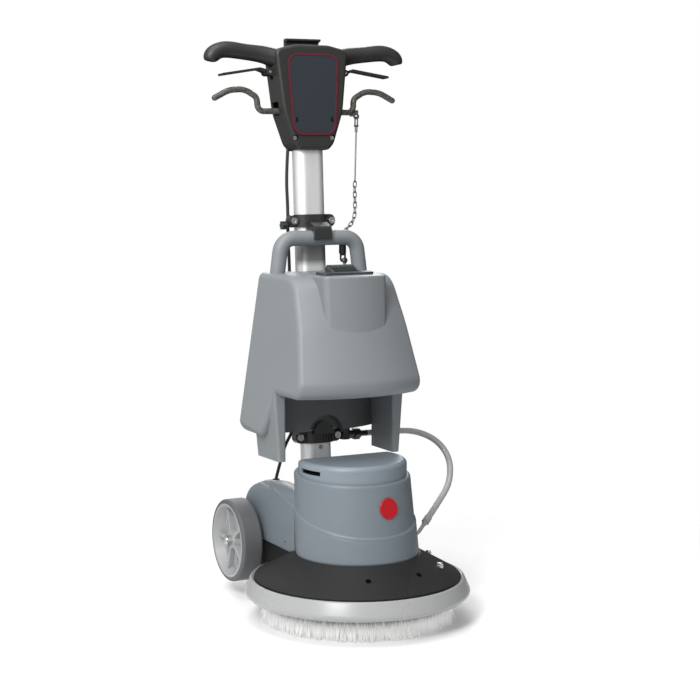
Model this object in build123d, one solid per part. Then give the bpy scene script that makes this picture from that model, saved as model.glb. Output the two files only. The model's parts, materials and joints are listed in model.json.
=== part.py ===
from build123d import *

import os
from math import acos, cos, hypot, pi, radians, sin, tan

# A single-disc floor machine. Millimetres and degrees.
# Z is the brush axis, z = 0 is the floor, and the operator stands on the +Y side.

# Clearances
PRESS = 0.02
RUN = 0.06
SLIP = 0.3
SEAT_GAP = 0.4

# Brush
BRISTLE_LENGTH = 45
BRISTLE_R = 190
BRISTLE_FLARE = 8
BRISTLE_INNER_R = 105
BLOCK_HEIGHT = 16
BLOCK_MARGIN = 3
HUB_SPIGOT_R = 40
HUB_FLANGE_R = 62
HUB_FLANGE_T = 8
HUB_BOSS_R = 26
HUB_LUGS = 3

# Deck and bumper
DECK_RIM_R = 205.5
DECK_RIM_Z = 88
DECK_RIM_DROP = 18
DECK_TOP_Z = 133
DECK_SHOULDER_R = 126
DECK_WALL = 5
DECK_HOLE_R = 4.5
BUMPER_R = 225
BUMPER_Z = 50
BUMPER_HEIGHT = 40
BUMPER_ROUND = 14
BRIDGE_HALF = 58
BRIDGE_REAR = 196
BRIDGE_TOP_Z = 127

# Motor housing
HOUSING_R = 120
HOUSING_TAPER = 4
HOUSING_SET_BACK = 24
HOUSING_TILT = 3.4
HOUSING_TOP_Z = 290
HOUSING_WALL = 4
SKIRT_STEP = 3
CREASE_Z = 176
CHEEK_HALF = 112
CHEEK_CHANNEL = 50
CHEEK_FRONT_Y = 57
CHEEK_FRONT_Z = 251
CHEEK_CREST_Y = 170
CHEEK_CREST_Z = 254
CHEEK_FALL_Y = 232
CHEEK_FALL_Z = 247
CHEEK_TAIL_Y = 326
CHEEK_TAIL_Z = 180
CHEEK_BACK_Y = 336
CHEEK_ROUND = 20
CHEEK_INNER_ROUND = 34
LID_SETBACK = 7.5
LID_Y = 22
LID_HEIGHT = 29
LID_BACK_Y = 62
LID_ROUND = 10
VENT_HEIGHT = 9
BADGE_R = 20.5
BADGE_T = 4
BADGE_SEAT = 2
BADGE_Z = 237
BADGE_TURN = 8

# Gear train: the ring is fixed, the sun drives, the carrier turns the brush.
MODULE = 1.5
SUN_TEETH = 10
PLANET_TEETH = 35
PLANETS = 3
PRESSURE_ANGLE = 25
ADDENDUM = 0.8
DEDENDUM = 1.0
BACKLASH = 0.16
GEAR_WIDTH = 14
GEAR_SIDE_GAP = 2
RING_RIM = 7
CASE_WALL = 6
CASE_FLANGE = 16
CARRIER_T = 6
CARRIER_R = 46
PLANET_PIN_R = 6
OUTPUT_SHAFT_R = 14
BEARING_WIDTH = 12

# Motor
ROTOR_SHAFT_R = 8
ROTOR_R = 58
AIR_GAP = 1
MOTOR_MARGIN = 38
STATOR_HEIGHT = 50
STATOR_SLOTS = 24
WINDING_HEIGHT = 10
FRAME_WALL = 6
PLATE_T = 8
FAN_R = 70
FAN_HEIGHT = 14
FAN_BLADES = 8
CAPACITOR_R = 9
CAPACITOR_HEIGHT = 60

# Wheels
WHEEL_R = 86
WHEEL_WIDTH = 45
WHEEL_INNER_X = 121
WHEEL_SETBACK = 47
WHEEL_Z = 117
TYRE_THICKNESS = 9
RIM_LIP = 5
WHEEL_SPOKES = 5
AXLE_R = 8
HUB_WALL = 13
NUT_SETBACK = 7
ARM_T = 10
ARM_BOSS_R = 16

# Column hinge
PIN_Y = 180
PIN_Z = 150
PIN_R = 7
COLUMN_LEAN = 3.34
LUG_HALF = 25
LUG_R = 15
EAR_T = 10
BRACKET_BASE_T = 5
QUADRANT_R = 30
QUADRANT_T = 6
QUADRANT_NOTCHES = 7
NOTCH_PITCH = 9

# Column tube, measured from the hinge pin along the column
TUBE_WIDTH = 62
TUBE_DEPTH = 44
TUBE_CORNER = 18
TUBE_WALL = 3
TUBE_START = 60
TUBE_DROP = 20
FOOT_END = 180
FOOT_BOLT_W = 168
LOCK_ROD_R = 4
LOCK_ROD_X = -22

# Clamps
CLAMP_WALL = 6
CLAMP_HEIGHT = 26
CLAMP_SETBACK = 15
CLAMP_BOLT_X = 42.5
CLAMP_BOLT_R = 4
CLAMP_HEAD_R = 7
CLAMP_HEAD_H = 5
CLAMP_EAR_T = 9
CLAMP_REAR_EAR_T = 12
CLAMP_EAR_END = 9
LOWER_CLAMP_W = 189
UPPER_CLAMP_W = 634
TONGUE_R = 21
KNOB_R = 10
KNOB_LENGTH = 11
KNOB_DROP = 8
KNOB_BOSS_R = 6
KNOB_SCREW_R = 3
KNOB_LOBES = 6

# Tank, measured from the hinge pin while the column stands at rest
TANK_TOP = 533
TANK_ROOF = 295
TANK_FOOT = 207
TANK_REAR = 20
TANK_TOP_HALF = 120
TANK_FOOT_HALF = 170
TANK_TAPER = 0.08
TANK_BOW_Y = 80
TANK_WALL = 5
TANK_EDGE = 14
TANK_CORNER = 28
SHOULDER_Y = -144
SHOULDER_R = 49
BELLY_Y = -238
BELLY_R = 28
WAIST_Y = -190
WAIST_Z = 435
BEAK_HALF = 69
BEAK_FRONT = -186
BEAK_BOW = 13
BEAK_SLANT = 9
BEAK_NARROWING = 2
BEAK_DEPTH = 125
BEAK_ROUND = 14
BEAK_EDGE = 4
BEAK_PROUD = 1.5
LEG_X = 120
LEG_T = 16
LEG_FRONT = -104
LEG_BACK = -8
LEG_FOOT = 162
WING_FRONT = -60
WALL_BOW = 33
NOTCH_R = 39
NOTCH_CENTRE = 200
NOTCH_BACK = -22
GROOVE_HALF = 50
GROOVE_GAP = 2
ARCH_R = 15.5
ARCH_Y = -8
ARCH_FOOT_X = 94
ARCH_TOP_X = 84
ARCH_Z = 600
ARCH_BEND = 30
MOUTH_MARGIN = 5
LID_PLATE_HALF = 57
LID_PLATE_FRONT = -146
LID_PLATE_T = 5
HINGE_Y = -106
HINGE_RISE = 9
HINGE_BLOCK_HALF = 26
HINGE_PIN_R = 2.5
LID_EAR_T = 6

# Dosing line
VALVE_X = 67
VALVE_Y = 8
VALVE_ROD_R = 3
VALVE_PLUG_R = 7
VALVE_BODY_R = 11
VALVE_EYE_RISE = 18
OUTLET_R = 5
OUTLET_DROP = 21
BARB_END = 119
HOSE_R = 6.5
FEED_R = 4
WIRE_R = 1.6
STIRRUP_R = 1.5
CLIP_OFFSET = 8
CLIP_T = 3
CLIP_BAR = 3
LINK_WIRE = 2
LINK_LENGTH = 16
LINK_WIDTH = 9
LINKS = 12

# Handle head, its heights measured from the pin of the levers
HEAD_RISE = 132
HEAD_DROP = 80.5
HEAD_FRONT = -37
HEAD_REAR = 27
HEAD_SPLIT = 0
HEAD_WALL = 4
HEAD_EDGE = 7
HEAD_TOP_HALF = 82
HEAD_SHOULDER = 10
HEAD_MID_DROP = 3
HEAD_MID_HALF = 67.5
HEAD_LOW_DROP = 68
HEAD_LOW_HALF = 45
HEAD_FOOT_HALF = 33
PANEL_RISE = 110
PANEL_DROP = 46
PANEL_TOP_HALF = 54
PANEL_BOTTOM_HALF = 43.5
PANEL_ROUND = 19
PANEL_T = 2
BORDER_WIDTH = 4.5
HEAD_SCREW_X = 42
HEAD_SCREW_DROP = 56
GRIP_Y = -4
GRIP_TIP_X = 218
HOOK_HALF = 38
HOOK_RISE = 16

# Levers
LEVER_R = 6.2
LEVER_W = 858
LEVER_OFFSET = 7
LEVER_PIN_R = 5
LEVER_KNEE_X = 112
LEVER_TIP_X = 205
LEVER_RISE = 25
LUG_X = 119
LUG_DROP = 9
LUG_HOLE_R = 3.2
SWITCH_PIVOT_X = 85
SWITCH_RISE = 78
SWITCH_PIN_R = 3
SWITCH_TIP_X = 189
SWITCH_WIDTH = 22
SWITCH_T = 5

# Motor cable
CABLE_R = 3.3
CABLE_Y = 17
CABLE_POINTS = 10
GROMMET_R = 7
GROMMET_RISE = 2

# Values that follow from the driving dimensions
BLOCK_TOP = BRISTLE_LENGTH + BLOCK_HEIGHT
BLOCK_R = BRISTLE_R - BRISTLE_FLARE + BLOCK_MARGIN
HUB_FOOT_Z = BRISTLE_LENGTH + 4
RING_TEETH = SUN_TEETH + 2 * PLANET_TEETH
PLANET_ORBIT = MODULE * (SUN_TEETH + PLANET_TEETH) / 2
RING_OUTER_R = MODULE * (RING_TEETH / 2 + DEDENDUM) + RING_RIM
CASE_R = RING_OUTER_R + CASE_WALL
CASE_FLOOR_Z = DECK_TOP_Z + 1
CARRIER_Z = CASE_FLOOR_Z + GEAR_SIDE_GAP
GEAR_Z = CARRIER_Z + CARRIER_T + GEAR_SIDE_GAP
CASE_TOP_Z = GEAR_Z + GEAR_WIDTH + 6
PLATE_Z = CASE_TOP_Z
FRAME_Z = PLATE_Z + PLATE_T
FRAME_HEIGHT = STATOR_HEIGHT + 2 * WINDING_HEIGHT + 4
BELL_Z = FRAME_Z + FRAME_HEIGHT
FAN_Z = BELL_Z + PLATE_T + 6
HOUSING_TOP_R = HOUSING_R - HOUSING_TAPER
LID_R = HOUSING_TOP_R - LID_SETBACK
STATOR_R = HOUSING_R - MOTOR_MARGIN
FRAME_R = STATOR_R + FRAME_WALL
BEARING_R = 2 * ROTOR_SHAFT_R
WHEEL_Y = BUMPER_R + WHEEL_SETBACK
TUBE_END = LEVER_W - TUBE_DROP
HEAD_TOP = LEVER_W + HEAD_RISE
HEAD_BOTTOM = LEVER_W - HEAD_DROP
HEAD_MID_W = LEVER_W - HEAD_MID_DROP
HEAD_LOW_W = LEVER_W - HEAD_LOW_DROP
HEAD_SCREW_W = LEVER_W - HEAD_SCREW_DROP
PANEL_TOP = LEVER_W + PANEL_RISE
PANEL_BOTTOM = LEVER_W - PANEL_DROP
SWITCH_PIVOT_W = LEVER_W + SWITCH_RISE
TANK_HEIGHT = TANK_TOP - TANK_FOOT
SIDE_SLOPE = (TANK_FOOT_HALF - TANK_TOP_HALF) / TANK_HEIGHT

# Frames: the column stands on its hinge pin and leans back, the tank hangs level on it.
COLUMN = Location((0, PIN_Y, PIN_Z), (-COLUMN_LEAN, 0, 0))
LEVEL = Location((0, 0, 0), (COLUMN_LEAN, 0, 0))
TANK = Location((0, PIN_Y, PIN_Z))
SIDES = (-1, 1)


def outline(*corners):
    """Closed flat face from corners given as (x, y, rounding)."""
    points = [(x, y) for x, y, _ in corners]
    return make_face(FilletPolyline(*points, radius=[r for _, _, r in corners], close=True))


def block(x, y, z):
    """Box between three pairs of limits."""
    size = Box(x[1] - x[0], y[1] - y[0], z[1] - z[0])
    return Pos((x[0] + x[1]) / 2, (y[0] + y[1]) / 2, (z[0] + z[1]) / 2) * size


def side_prism(face, x):
    """Face drawn in Y and Z, extruded between two X limits."""
    return extrude(Plane.YZ.offset(x[0]) * face, x[1] - x[0])


def front_prism(face, y):
    """Face drawn in X and Z, extruded between two Y limits."""
    return extrude(Plane.XZ.offset(-y[1]) * face, y[1] - y[0])


def plan_prism(face, z):
    """Face drawn in X and Y, extruded between two Z limits."""
    return extrude(Pos(0, 0, z[0]) * face, z[1] - z[0])


def turned(*points):
    """Solid of revolution about Z from (radius, height) points."""
    return revolve(Plane.XZ * make_face(Polyline(*points, close=True)), Axis.Z)


def rod_z(radius, z, at=(0, 0)):
    """Round bar along Z."""
    return Pos(at[0], at[1], (z[0] + z[1]) / 2) * Cylinder(radius, z[1] - z[0])


def rod_x(radius, x, at):
    """Round bar along X at a (y, z) place."""
    return Pos((x[0] + x[1]) / 2, *at) * Rot(0, 90, 0) * Cylinder(radius, x[1] - x[0])


def rod_y(radius, y, at):
    """Round bar along Y at an (x, z) place."""
    return Pos(at[0], (y[0] + y[1]) / 2, at[1]) * Rot(90, 0, 0) * Cylinder(radius, y[1] - y[0])


def tube_along(path, radius):
    """Round bar swept along a path."""
    return sweep(Plane(path @ 0, z_dir=path % 0) * Circle(radius), path)


def mirrored(shape):
    """The same shape on the other side of the machine."""
    return mirror(shape, Plane.YZ)


def cord_path(points):
    """Straight runs joined by arcs that are as large as the runs allow."""
    places = [Vector(*p) for p in points]
    radii = []
    for a, b, c in zip(places, places[1:], places[2:]):
        turn = radians((b - a).get_angle(c - b))
        radii.append(0.45 * min((b - a).length, (c - b).length) / tan(turn / 2))
    return FilletPolyline(*places, radius=radii), radii


def cord(points, radius, name):
    """Round cord along a route, with its radii and its volume printed."""
    path, radii = cord_path(points)
    solid = tube_along(path, radius)
    share = solid.volume / (pi * radius**2 * path.length)
    print(name, "length", round(path.length), "volume", round(share, 4), "radii", [round(r) for r in radii])
    return solid


# Brush

def bristle_ring():
    root_r = BRISTLE_R - BRISTLE_FLARE
    return turned(
        (BRISTLE_INNER_R, 0),
        (BRISTLE_R, 0),
        (root_r, BRISTLE_LENGTH),
        (BRISTLE_INNER_R, BRISTLE_LENGTH),
    )


def brush_block():
    disc = turned(
        (HUB_SPIGOT_R + SLIP, BRISTLE_LENGTH),
        (BLOCK_R, BRISTLE_LENGTH),
        (BLOCK_R, BLOCK_TOP - 5),
        (BLOCK_R - 5, BLOCK_TOP),
        (HUB_SPIGOT_R + SLIP, BLOCK_TOP),
    )
    near, far = HUB_FLANGE_R + 12, (HUB_FLANGE_R + BLOCK_R) / 2
    low, high = BLOCK_TOP - 4, BLOCK_TOP + 1
    return disc - turned((near, low), (far, low), (far, high), (near, high))


def drive_hub():
    boss_top = CASE_FLOOR_Z - BEARING_WIDTH - 12
    hub = turned(
        (OUTPUT_SHAFT_R + PRESS, HUB_FOOT_Z),
        (HUB_SPIGOT_R, HUB_FOOT_Z),
        (HUB_SPIGOT_R, BLOCK_TOP),
        (HUB_FLANGE_R, BLOCK_TOP),
        (HUB_FLANGE_R, BLOCK_TOP + HUB_FLANGE_T),
        (HUB_BOSS_R, BLOCK_TOP + HUB_FLANGE_T),
        (HUB_BOSS_R, boss_top),
        (OUTPUT_SHAFT_R + PRESS, boss_top),
    )
    rib = block((HUB_BOSS_R - 2, HUB_FLANGE_R - 6), (-4, 4), (BLOCK_TOP + HUB_FLANGE_T, boss_top - 6))
    for i in range(HUB_LUGS):
        hub += Rot(0, 0, i * 360 / HUB_LUGS) * rib
    return hub


# Gears

def involute(angle):
    return tan(angle) - angle


def tooth_half_angle(teeth, radius, thinner):
    """Half the angle that a tooth takes at a radius, with the flank on an involute."""
    pitch_r = MODULE * teeth / 2
    base_r = pitch_r * cos(radians(PRESSURE_ANGLE))
    at_pitch = pi / (2 * teeth) - thinner / (2 * pitch_r)
    flank = involute(radians(PRESSURE_ANGLE)) - involute(acos(min(1, base_r / max(radius, base_r))))
    return at_pitch + flank


def gear_face(teeth, inner_r, outer_r, thinner, phase=0):
    """Flat gear whose tooth flanks are short chords of the involute."""
    steps = 3
    points = []
    for tooth in range(teeth):
        centre = 2 * pi * tooth / teeth + radians(phase)
        radii = [inner_r + (outer_r - inner_r) * i / steps for i in range(steps + 1)]
        rising = [(r, centre - tooth_half_angle(teeth, r, thinner)) for r in radii]
        falling = [(r, centre + tooth_half_angle(teeth, r, thinner)) for r in reversed(radii)]
        points += [(r * cos(a), r * sin(a)) for r, a in rising + falling]
    return make_face(Polyline(*points, close=True))


def external_gear(teeth, phase=0):
    pitch_r = MODULE * teeth / 2
    return gear_face(teeth, pitch_r - MODULE * DEDENDUM, pitch_r + MODULE * ADDENDUM, BACKLASH, phase)


def planet_angle(index):
    return index * 360 / PLANETS


def planet_place(index):
    angle = radians(planet_angle(index))
    return PLANET_ORBIT * cos(angle), PLANET_ORBIT * sin(angle)


def planet_gear(index):
    """Turned so that its gaps face the sun's teeth."""
    place = planet_angle(index)
    phase = place + 180 + 360 / PLANET_TEETH * (0.5 + place * SUN_TEETH / 360)
    face = external_gear(PLANET_TEETH, phase) - Circle(PLANET_PIN_R + RUN)
    return plan_prism(Pos(*planet_place(index)) * face, (GEAR_Z, GEAR_Z + GEAR_WIDTH))


def ring_teeth():
    """Teeth inside the case. The gaps are a gear's shape grown by the backlash."""
    pitch_r = MODULE * RING_TEETH / 2
    gaps = gear_face(RING_TEETH, pitch_r - MODULE * ADDENDUM, pitch_r + MODULE * DEDENDUM, -BACKLASH)
    return plan_prism(Circle(CASE_R) - gaps, (GEAR_Z, GEAR_Z + GEAR_WIDTH))


def planet_carrier():
    """Plate with the planet pins above and the output shaft below."""
    carrier = rod_z(CARRIER_R, (CARRIER_Z, CARRIER_Z + CARRIER_T))
    carrier += rod_z(OUTPUT_SHAFT_R, (HUB_FOOT_Z, CARRIER_Z))
    for i in range(PLANETS):
        carrier += rod_z(PLANET_PIN_R, (CARRIER_Z, GEAR_Z + GEAR_WIDTH + 1), planet_place(i))
    return carrier


def gearbox_case():
    """Cup through the deck with a flange, a bearing seat below and the ring teeth inside."""
    low = CASE_FLOOR_Z - BEARING_WIDTH - 4
    boss_r = 2 * OUTPUT_SHAFT_R + CASE_WALL
    bore = 2 * OUTPUT_SHAFT_R + PRESS
    cup = turned(
        (bore, low),
        (OUTPUT_SHAFT_R + 2, low),
        (OUTPUT_SHAFT_R + 2, low - 4),
        (boss_r, low - 4),
        (boss_r, DECK_TOP_Z - DECK_WALL - 2),
        (CASE_R, DECK_TOP_Z - DECK_WALL - 2),
        (CASE_R, DECK_TOP_Z),
        (CASE_R + CASE_FLANGE, DECK_TOP_Z),
        (CASE_R + CASE_FLANGE, DECK_TOP_Z + CASE_WALL),
        (CASE_R, DECK_TOP_Z + CASE_WALL),
        (CASE_R, CASE_TOP_Z),
        (RING_OUTER_R, CASE_TOP_Z),
        (RING_OUTER_R, CASE_FLOOR_Z),
        (bore, CASE_FLOOR_Z),
    )
    return cup + ring_teeth()


def bearing(inner_r, outer_r, z):
    """Two races with a shallow groove between them on both faces."""
    third = (outer_r - inner_r) / 3
    ring = turned((inner_r, z[0]), (outer_r, z[0]), (outer_r, z[1]), (inner_r, z[1]))
    for end in ((z[0], z[0] + 1), (z[1] - 1, z[1])):
        ring -= turned(
            (inner_r + third, end[0]),
            (outer_r - third, end[0]),
            (outer_r - third, end[1]),
            (inner_r + third, end[1]),
        )
    return ring


def bearings():
    """Output bearing in the gearbox and the rotor's two bearings."""
    low = CASE_FLOOR_Z - BEARING_WIDTH - 4
    output = bearing(OUTPUT_SHAFT_R + RUN, 2 * OUTPUT_SHAFT_R, (low, low + BEARING_WIDTH))
    rotor = [bearing(ROTOR_SHAFT_R + RUN, BEARING_R, z) for z in (lower_bearing_z(), upper_bearing_z())]
    return Compound([output, *rotor])


# Motor

def lower_bearing_z():
    return PLATE_Z - 2, PLATE_Z - 2 + BEARING_WIDTH - 2


def upper_bearing_z():
    return BELL_Z, BELL_Z + BEARING_WIDTH - 2


def bearing_plate(z, seat_z, radius):
    """Flat plate with a boss that holds a rotor bearing."""
    boss_r = BEARING_R + CASE_WALL
    plate = rod_z(radius, z) + rod_z(boss_r, (min(z[0], seat_z[0]), max(z[1], seat_z[1])))
    plate -= rod_z(BEARING_R + PRESS, (seat_z[0], seat_z[1] + PLATE_T))
    return plate - rod_z(ROTOR_SHAFT_R + 2, (z[0] - PLATE_T, z[1] + PLATE_T))


def motor_end_bell():
    return bearing_plate((BELL_Z, BELL_Z + PLATE_T), upper_bearing_z(), FRAME_R)


def stator_z():
    low = FRAME_Z + 2 + WINDING_HEIGHT
    return low, low + STATOR_HEIGHT


def stator():
    """Slotted core with the winding heads on both ends."""
    bore = ROTOR_R + AIR_GAP
    face = Circle(STATOR_R) - Circle(bore)
    slot = Pos(bore + 6, 0) * Rectangle(8, 3)
    for i in range(STATOR_SLOTS):
        face -= Rot(0, 0, i * 360 / STATOR_SLOTS) * slot
    low, high = stator_z()
    core = plan_prism(face, (low, high))
    heads = Circle(STATOR_R - 4) - Circle(bore + 3)
    core += plan_prism(heads, (low - WINDING_HEIGHT, low))
    return core + plan_prism(heads, (high, high + WINDING_HEIGHT))


def motor_frame():
    """Plate over the gearbox with the wall that holds the stator."""
    plate = bearing_plate((PLATE_Z, FRAME_Z), lower_bearing_z(), FRAME_R + 18)
    wall = Circle(FRAME_R) - Circle(STATOR_R + PRESS)
    return plate + plan_prism(wall, (FRAME_Z, BELL_Z))


def rotor():
    """Shaft with the sun pinion below, the core and the cooling fan."""
    bearing_low = lower_bearing_z()[0]
    low, high = stator_z()
    shaft = plan_prism(external_gear(SUN_TEETH), (GEAR_Z, GEAR_Z + GEAR_WIDTH))
    shaft += rod_z(MODULE * (SUN_TEETH / 2 - DEDENDUM), (GEAR_Z, bearing_low))
    shaft += rod_z(ROTOR_SHAFT_R, (bearing_low, FAN_Z + FAN_HEIGHT))
    shaft += rod_z(ROTOR_R, (low, high)) + rod_z(FAN_R, (FAN_Z, FAN_Z + 2))
    blade = block((ROTOR_SHAFT_R - 2, FAN_R - 2), (-1.5, 1.5), (FAN_Z, FAN_Z + FAN_HEIGHT - 2))
    for i in range(FAN_BLADES):
        shaft += Rot(0, 0, i * 360 / FAN_BLADES) * blade
    return shaft


def motor_electrics():
    """Run capacitor and terminal block on the motor's plate."""
    place = (FRAME_R + CAPACITOR_R + 2, 0)
    can = rod_z(CAPACITOR_R, (FRAME_Z, FRAME_Z + CAPACITOR_HEIGHT), place)
    can += rod_z(CAPACITOR_R - 3, (FRAME_Z, FRAME_Z + CAPACITOR_HEIGHT + 4), place)
    terminals = block((-(FRAME_R + 16), -(FRAME_R + 4)), (-20, 20), (FRAME_Z, FRAME_Z + 18))
    for y in (-12, 0, 12):
        terminals -= rod_z(2.5, (FRAME_Z + 8, FRAME_Z + 19), (-(FRAME_R + 10), y))
    return Compound([can, terminals])


# Deck

def deck_underneath(gap=0):
    """Everything below the deck's upper surface."""
    return turned(
        (0, 0),
        (DECK_RIM_R, 0),
        (DECK_RIM_R, DECK_RIM_Z + gap),
        (DECK_SHOULDER_R, DECK_TOP_Z + gap),
        (0, DECK_TOP_Z + gap),
    )


def deck_height(radius):
    """Height of the deck's upper surface at a radius."""
    slope = (DECK_TOP_Z - DECK_RIM_Z) / (DECK_RIM_R - DECK_SHOULDER_R)
    return DECK_TOP_Z - slope * (radius - DECK_SHOULDER_R)


def deck_plate():
    """Cone with a rim, and behind the motor the bridge for the column and the arms for the axle."""
    inner = CASE_R + SLIP
    shell = turned(
        (inner, DECK_TOP_Z - DECK_WALL),
        (DECK_SHOULDER_R - 2, DECK_TOP_Z - DECK_WALL),
        (DECK_RIM_R - DECK_WALL, DECK_RIM_Z - DECK_WALL),
        (DECK_RIM_R - DECK_WALL, DECK_RIM_Z - DECK_RIM_DROP),
        (DECK_RIM_R, DECK_RIM_Z - DECK_RIM_DROP),
        (DECK_RIM_R, DECK_RIM_Z),
        (DECK_SHOULDER_R, DECK_TOP_Z),
        (inner, DECK_TOP_Z),
    )
    bridge = block((-BRIDGE_HALF, BRIDGE_HALF), (DECK_SHOULDER_R, BRIDGE_REAR), (DECK_RIM_Z, BRIDGE_TOP_Z))
    deck = shell + (bridge - deck_underneath())
    for angle in (-20, 20):
        hole_r = (DECK_SHOULDER_R + DECK_RIM_R) / 2 - 4
        x, y = hole_r * sin(radians(angle)), -hole_r * cos(radians(angle))
        deck -= rod_z(DECK_HOLE_R, (DECK_RIM_Z, DECK_TOP_Z), (x, y))
    deck += axle_arm() + mirrored(axle_arm())
    return deck - rod_z(FEED_R + SLIP, (DECK_RIM_Z, DECK_TOP_Z), inlet_place())


def bumper_ring():
    inner = DECK_RIM_R + SLIP
    top = BUMPER_Z + BUMPER_HEIGHT
    face = outline(
        (inner, BUMPER_Z, 4),
        (BUMPER_R, BUMPER_Z, BUMPER_ROUND),
        (BUMPER_R, top, BUMPER_ROUND),
        (inner, top, 3),
    )
    ring = revolve(Plane.XZ * face, Axis.Z)
    near, far = inner - DECK_WALL, inner + 2
    lip = DECK_RIM_Z - DECK_RIM_DROP
    return ring + turned((near, lip - 6), (far, lip - 6), (far, lip), (near, lip))


def deck_bolt_places():
    """Two bolts on the right, with their angles from +X."""
    radius = (DECK_SHOULDER_R + DECK_RIM_R) / 2
    places = []
    for angle in (-38, 2):
        places.append((radius * cos(radians(angle)), radius * sin(radians(angle))))
    return places


def deck_bolts():
    low = deck_height((DECK_SHOULDER_R + DECK_RIM_R) / 2)
    heads = []
    for place in deck_bolt_places():
        washer = rod_z(7, (low - 6, low + 3), place)
        head = plan_prism(Pos(*place) * RegularPolygon(5.5, 6), (low + 3, low + 7))
        heads.append(washer - deck_underneath() + head)
    return Compound(heads)


def inlet_place():
    return HOUSING_R + 18, 34


def inlet_seat():
    """Seat on the deck for the thin feed pipe."""
    x, y = inlet_place()
    return rod_z(FEED_R + 5, (DECK_RIM_Z, deck_height(hypot(x, y)) + 8), (x, y)) - deck_underneath()


# Housing

def above_rim(lift):
    """Room above the housing's rim, which rises to the rear."""
    room = Pos(0, 0, HOUSING_R) * Box(4 * HOUSING_R, 4 * HOUSING_R, 2 * HOUSING_R)
    return Pos(0, HOUSING_SET_BACK, HOUSING_TOP_Z + lift) * Rot(HOUSING_TILT, 0, 0) * room


def housing_wall(z):
    """Middle and radius of the housing's round wall at a height. Its top is set back."""
    share = (z - DECK_TOP_Z) / (HOUSING_TOP_Z - DECK_TOP_Z)
    return share * HOUSING_SET_BACK, HOUSING_R + share * (HOUSING_TOP_R - HOUSING_R)


def housing_cone(offset):
    """Round wall of the motor housing, moved outwards by an offset."""
    sections = []
    for z in (DECK_TOP_Z, HOUSING_TOP_Z + 2 * LID_ROUND):
        y, radius = housing_wall(z)
        sections.append(Pos(0, y, z) * Circle(radius + offset))
    return loft(sections, ruled=True) - above_rim(min(offset, 0))


def cheek(inset, proud=0):
    """One of the two rear fairings beside the column, drawn in Y and Z."""
    low = BRIDGE_TOP_Z if inset == 0 else BRIDGE_TOP_Z - 10
    inner = CHEEK_CHANNEL + inset
    outer = CHEEK_HALF - SKIRT_STEP + proud - inset
    face = outline(
        (CHEEK_FRONT_Y, low, 0),
        (CHEEK_FRONT_Y, CHEEK_FRONT_Z - inset, 0),
        (CHEEK_CREST_Y, CHEEK_CREST_Z - inset, 120),
        (CHEEK_FALL_Y, CHEEK_FALL_Z - inset, 90),
        (CHEEK_TAIL_Y - 30 - inset, CHEEK_TAIL_Z + 44 - inset, 60),
        (CHEEK_TAIL_Y - inset, CHEEK_TAIL_Z, 50),
        (CHEEK_BACK_Y - inset, low, 0),
    )
    solid = side_prism(face, (inner, outer))
    for x, rounding in ((inner, CHEEK_INNER_ROUND), (outer, CHEEK_ROUND)):
        rim = solid.edges().filter_by(lambda e: abs((e @ 0.5).X - x) < 0.1)
        rim = rim.filter_by(lambda e: (e @ 0.5).Z > low + 5 and (e @ 0.5).Y > CHEEK_FRONT_Y + 1)
        solid = fillet(rim, rounding - inset)
    return solid


def below_crease():
    """Room below the line where the proud lower skin ends, rising to the rear."""
    front, rear = -2 * HOUSING_R, CHEEK_BACK_Y + 20
    face = outline(
        (front, 0, 0),
        (rear, 0, 0),
        (rear, CREASE_Z + 64, 0),
        (205, CREASE_Z + 65, 150),
        (131, CREASE_Z + 58, 150),
        (43, CREASE_Z + 40, 150),
        (-60, CREASE_Z + 15, 150),
        (-HOUSING_R, CREASE_Z, 150),
        (front, CREASE_Z - 10, 0),
    )
    return side_prism(face, (-2 * HOUSING_R, 2 * HOUSING_R))


def housing_skin(proud):
    return housing_cone(proud) + cheek(0, proud) + mirrored(cheek(0, proud))


def motor_housing():
    cone = housing_cone(0)
    rim = cone.faces().sort_by(Axis.Z)[-1].edges()
    outer = fillet(rim, 5) + cheek(0) + mirrored(cheek(0))
    outer += housing_skin(SKIRT_STEP) & below_crease()
    inner = housing_cone(-HOUSING_WALL) + cheek(HOUSING_WALL) + mirrored(cheek(HOUSING_WALL))
    shell = outer - inner - deck_underneath()
    shell -= badge_disc(BADGE_R + PRESS, 10 * BADGE_T)
    return shell - rod_z(GROMMET_R + PRESS, (PIN_Z, CHEEK_CREST_Z + 10), grommet_place())


def badge_disc(radius, height):
    """Disc on a flat seat in the housing's wall, square to it and a little to the right."""
    lean = (HOUSING_R - HOUSING_TOP_R + HOUSING_SET_BACK) / (HOUSING_TOP_Z - DECK_TOP_Z)
    turn = radians(BADGE_TURN)
    middle, wall_r = housing_wall(BADGE_Z)
    place = (wall_r * sin(turn), middle - wall_r * cos(turn), BADGE_Z)
    seat = Plane(place, x_dir=(cos(turn), sin(turn), 0), z_dir=(sin(turn), -cos(turn), lean))
    return seat.offset(-BADGE_SEAT) * Pos(0, 0, height / 2) * Cylinder(radius, height)


def badge():
    disc = badge_disc(BADGE_R, BADGE_T)
    front = disc.faces().sort_by(Axis.Y)[0]
    return fillet(front.edges(), 1)


def lid_face(inset):
    """D shape of the housing lid."""
    keep = Pos(0, LID_BACK_Y - inset - 2 * LID_R) * Rectangle(4 * LID_R, 4 * LID_R)
    return (Pos(0, LID_Y) * Circle(LID_R - inset)) & keep


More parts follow.
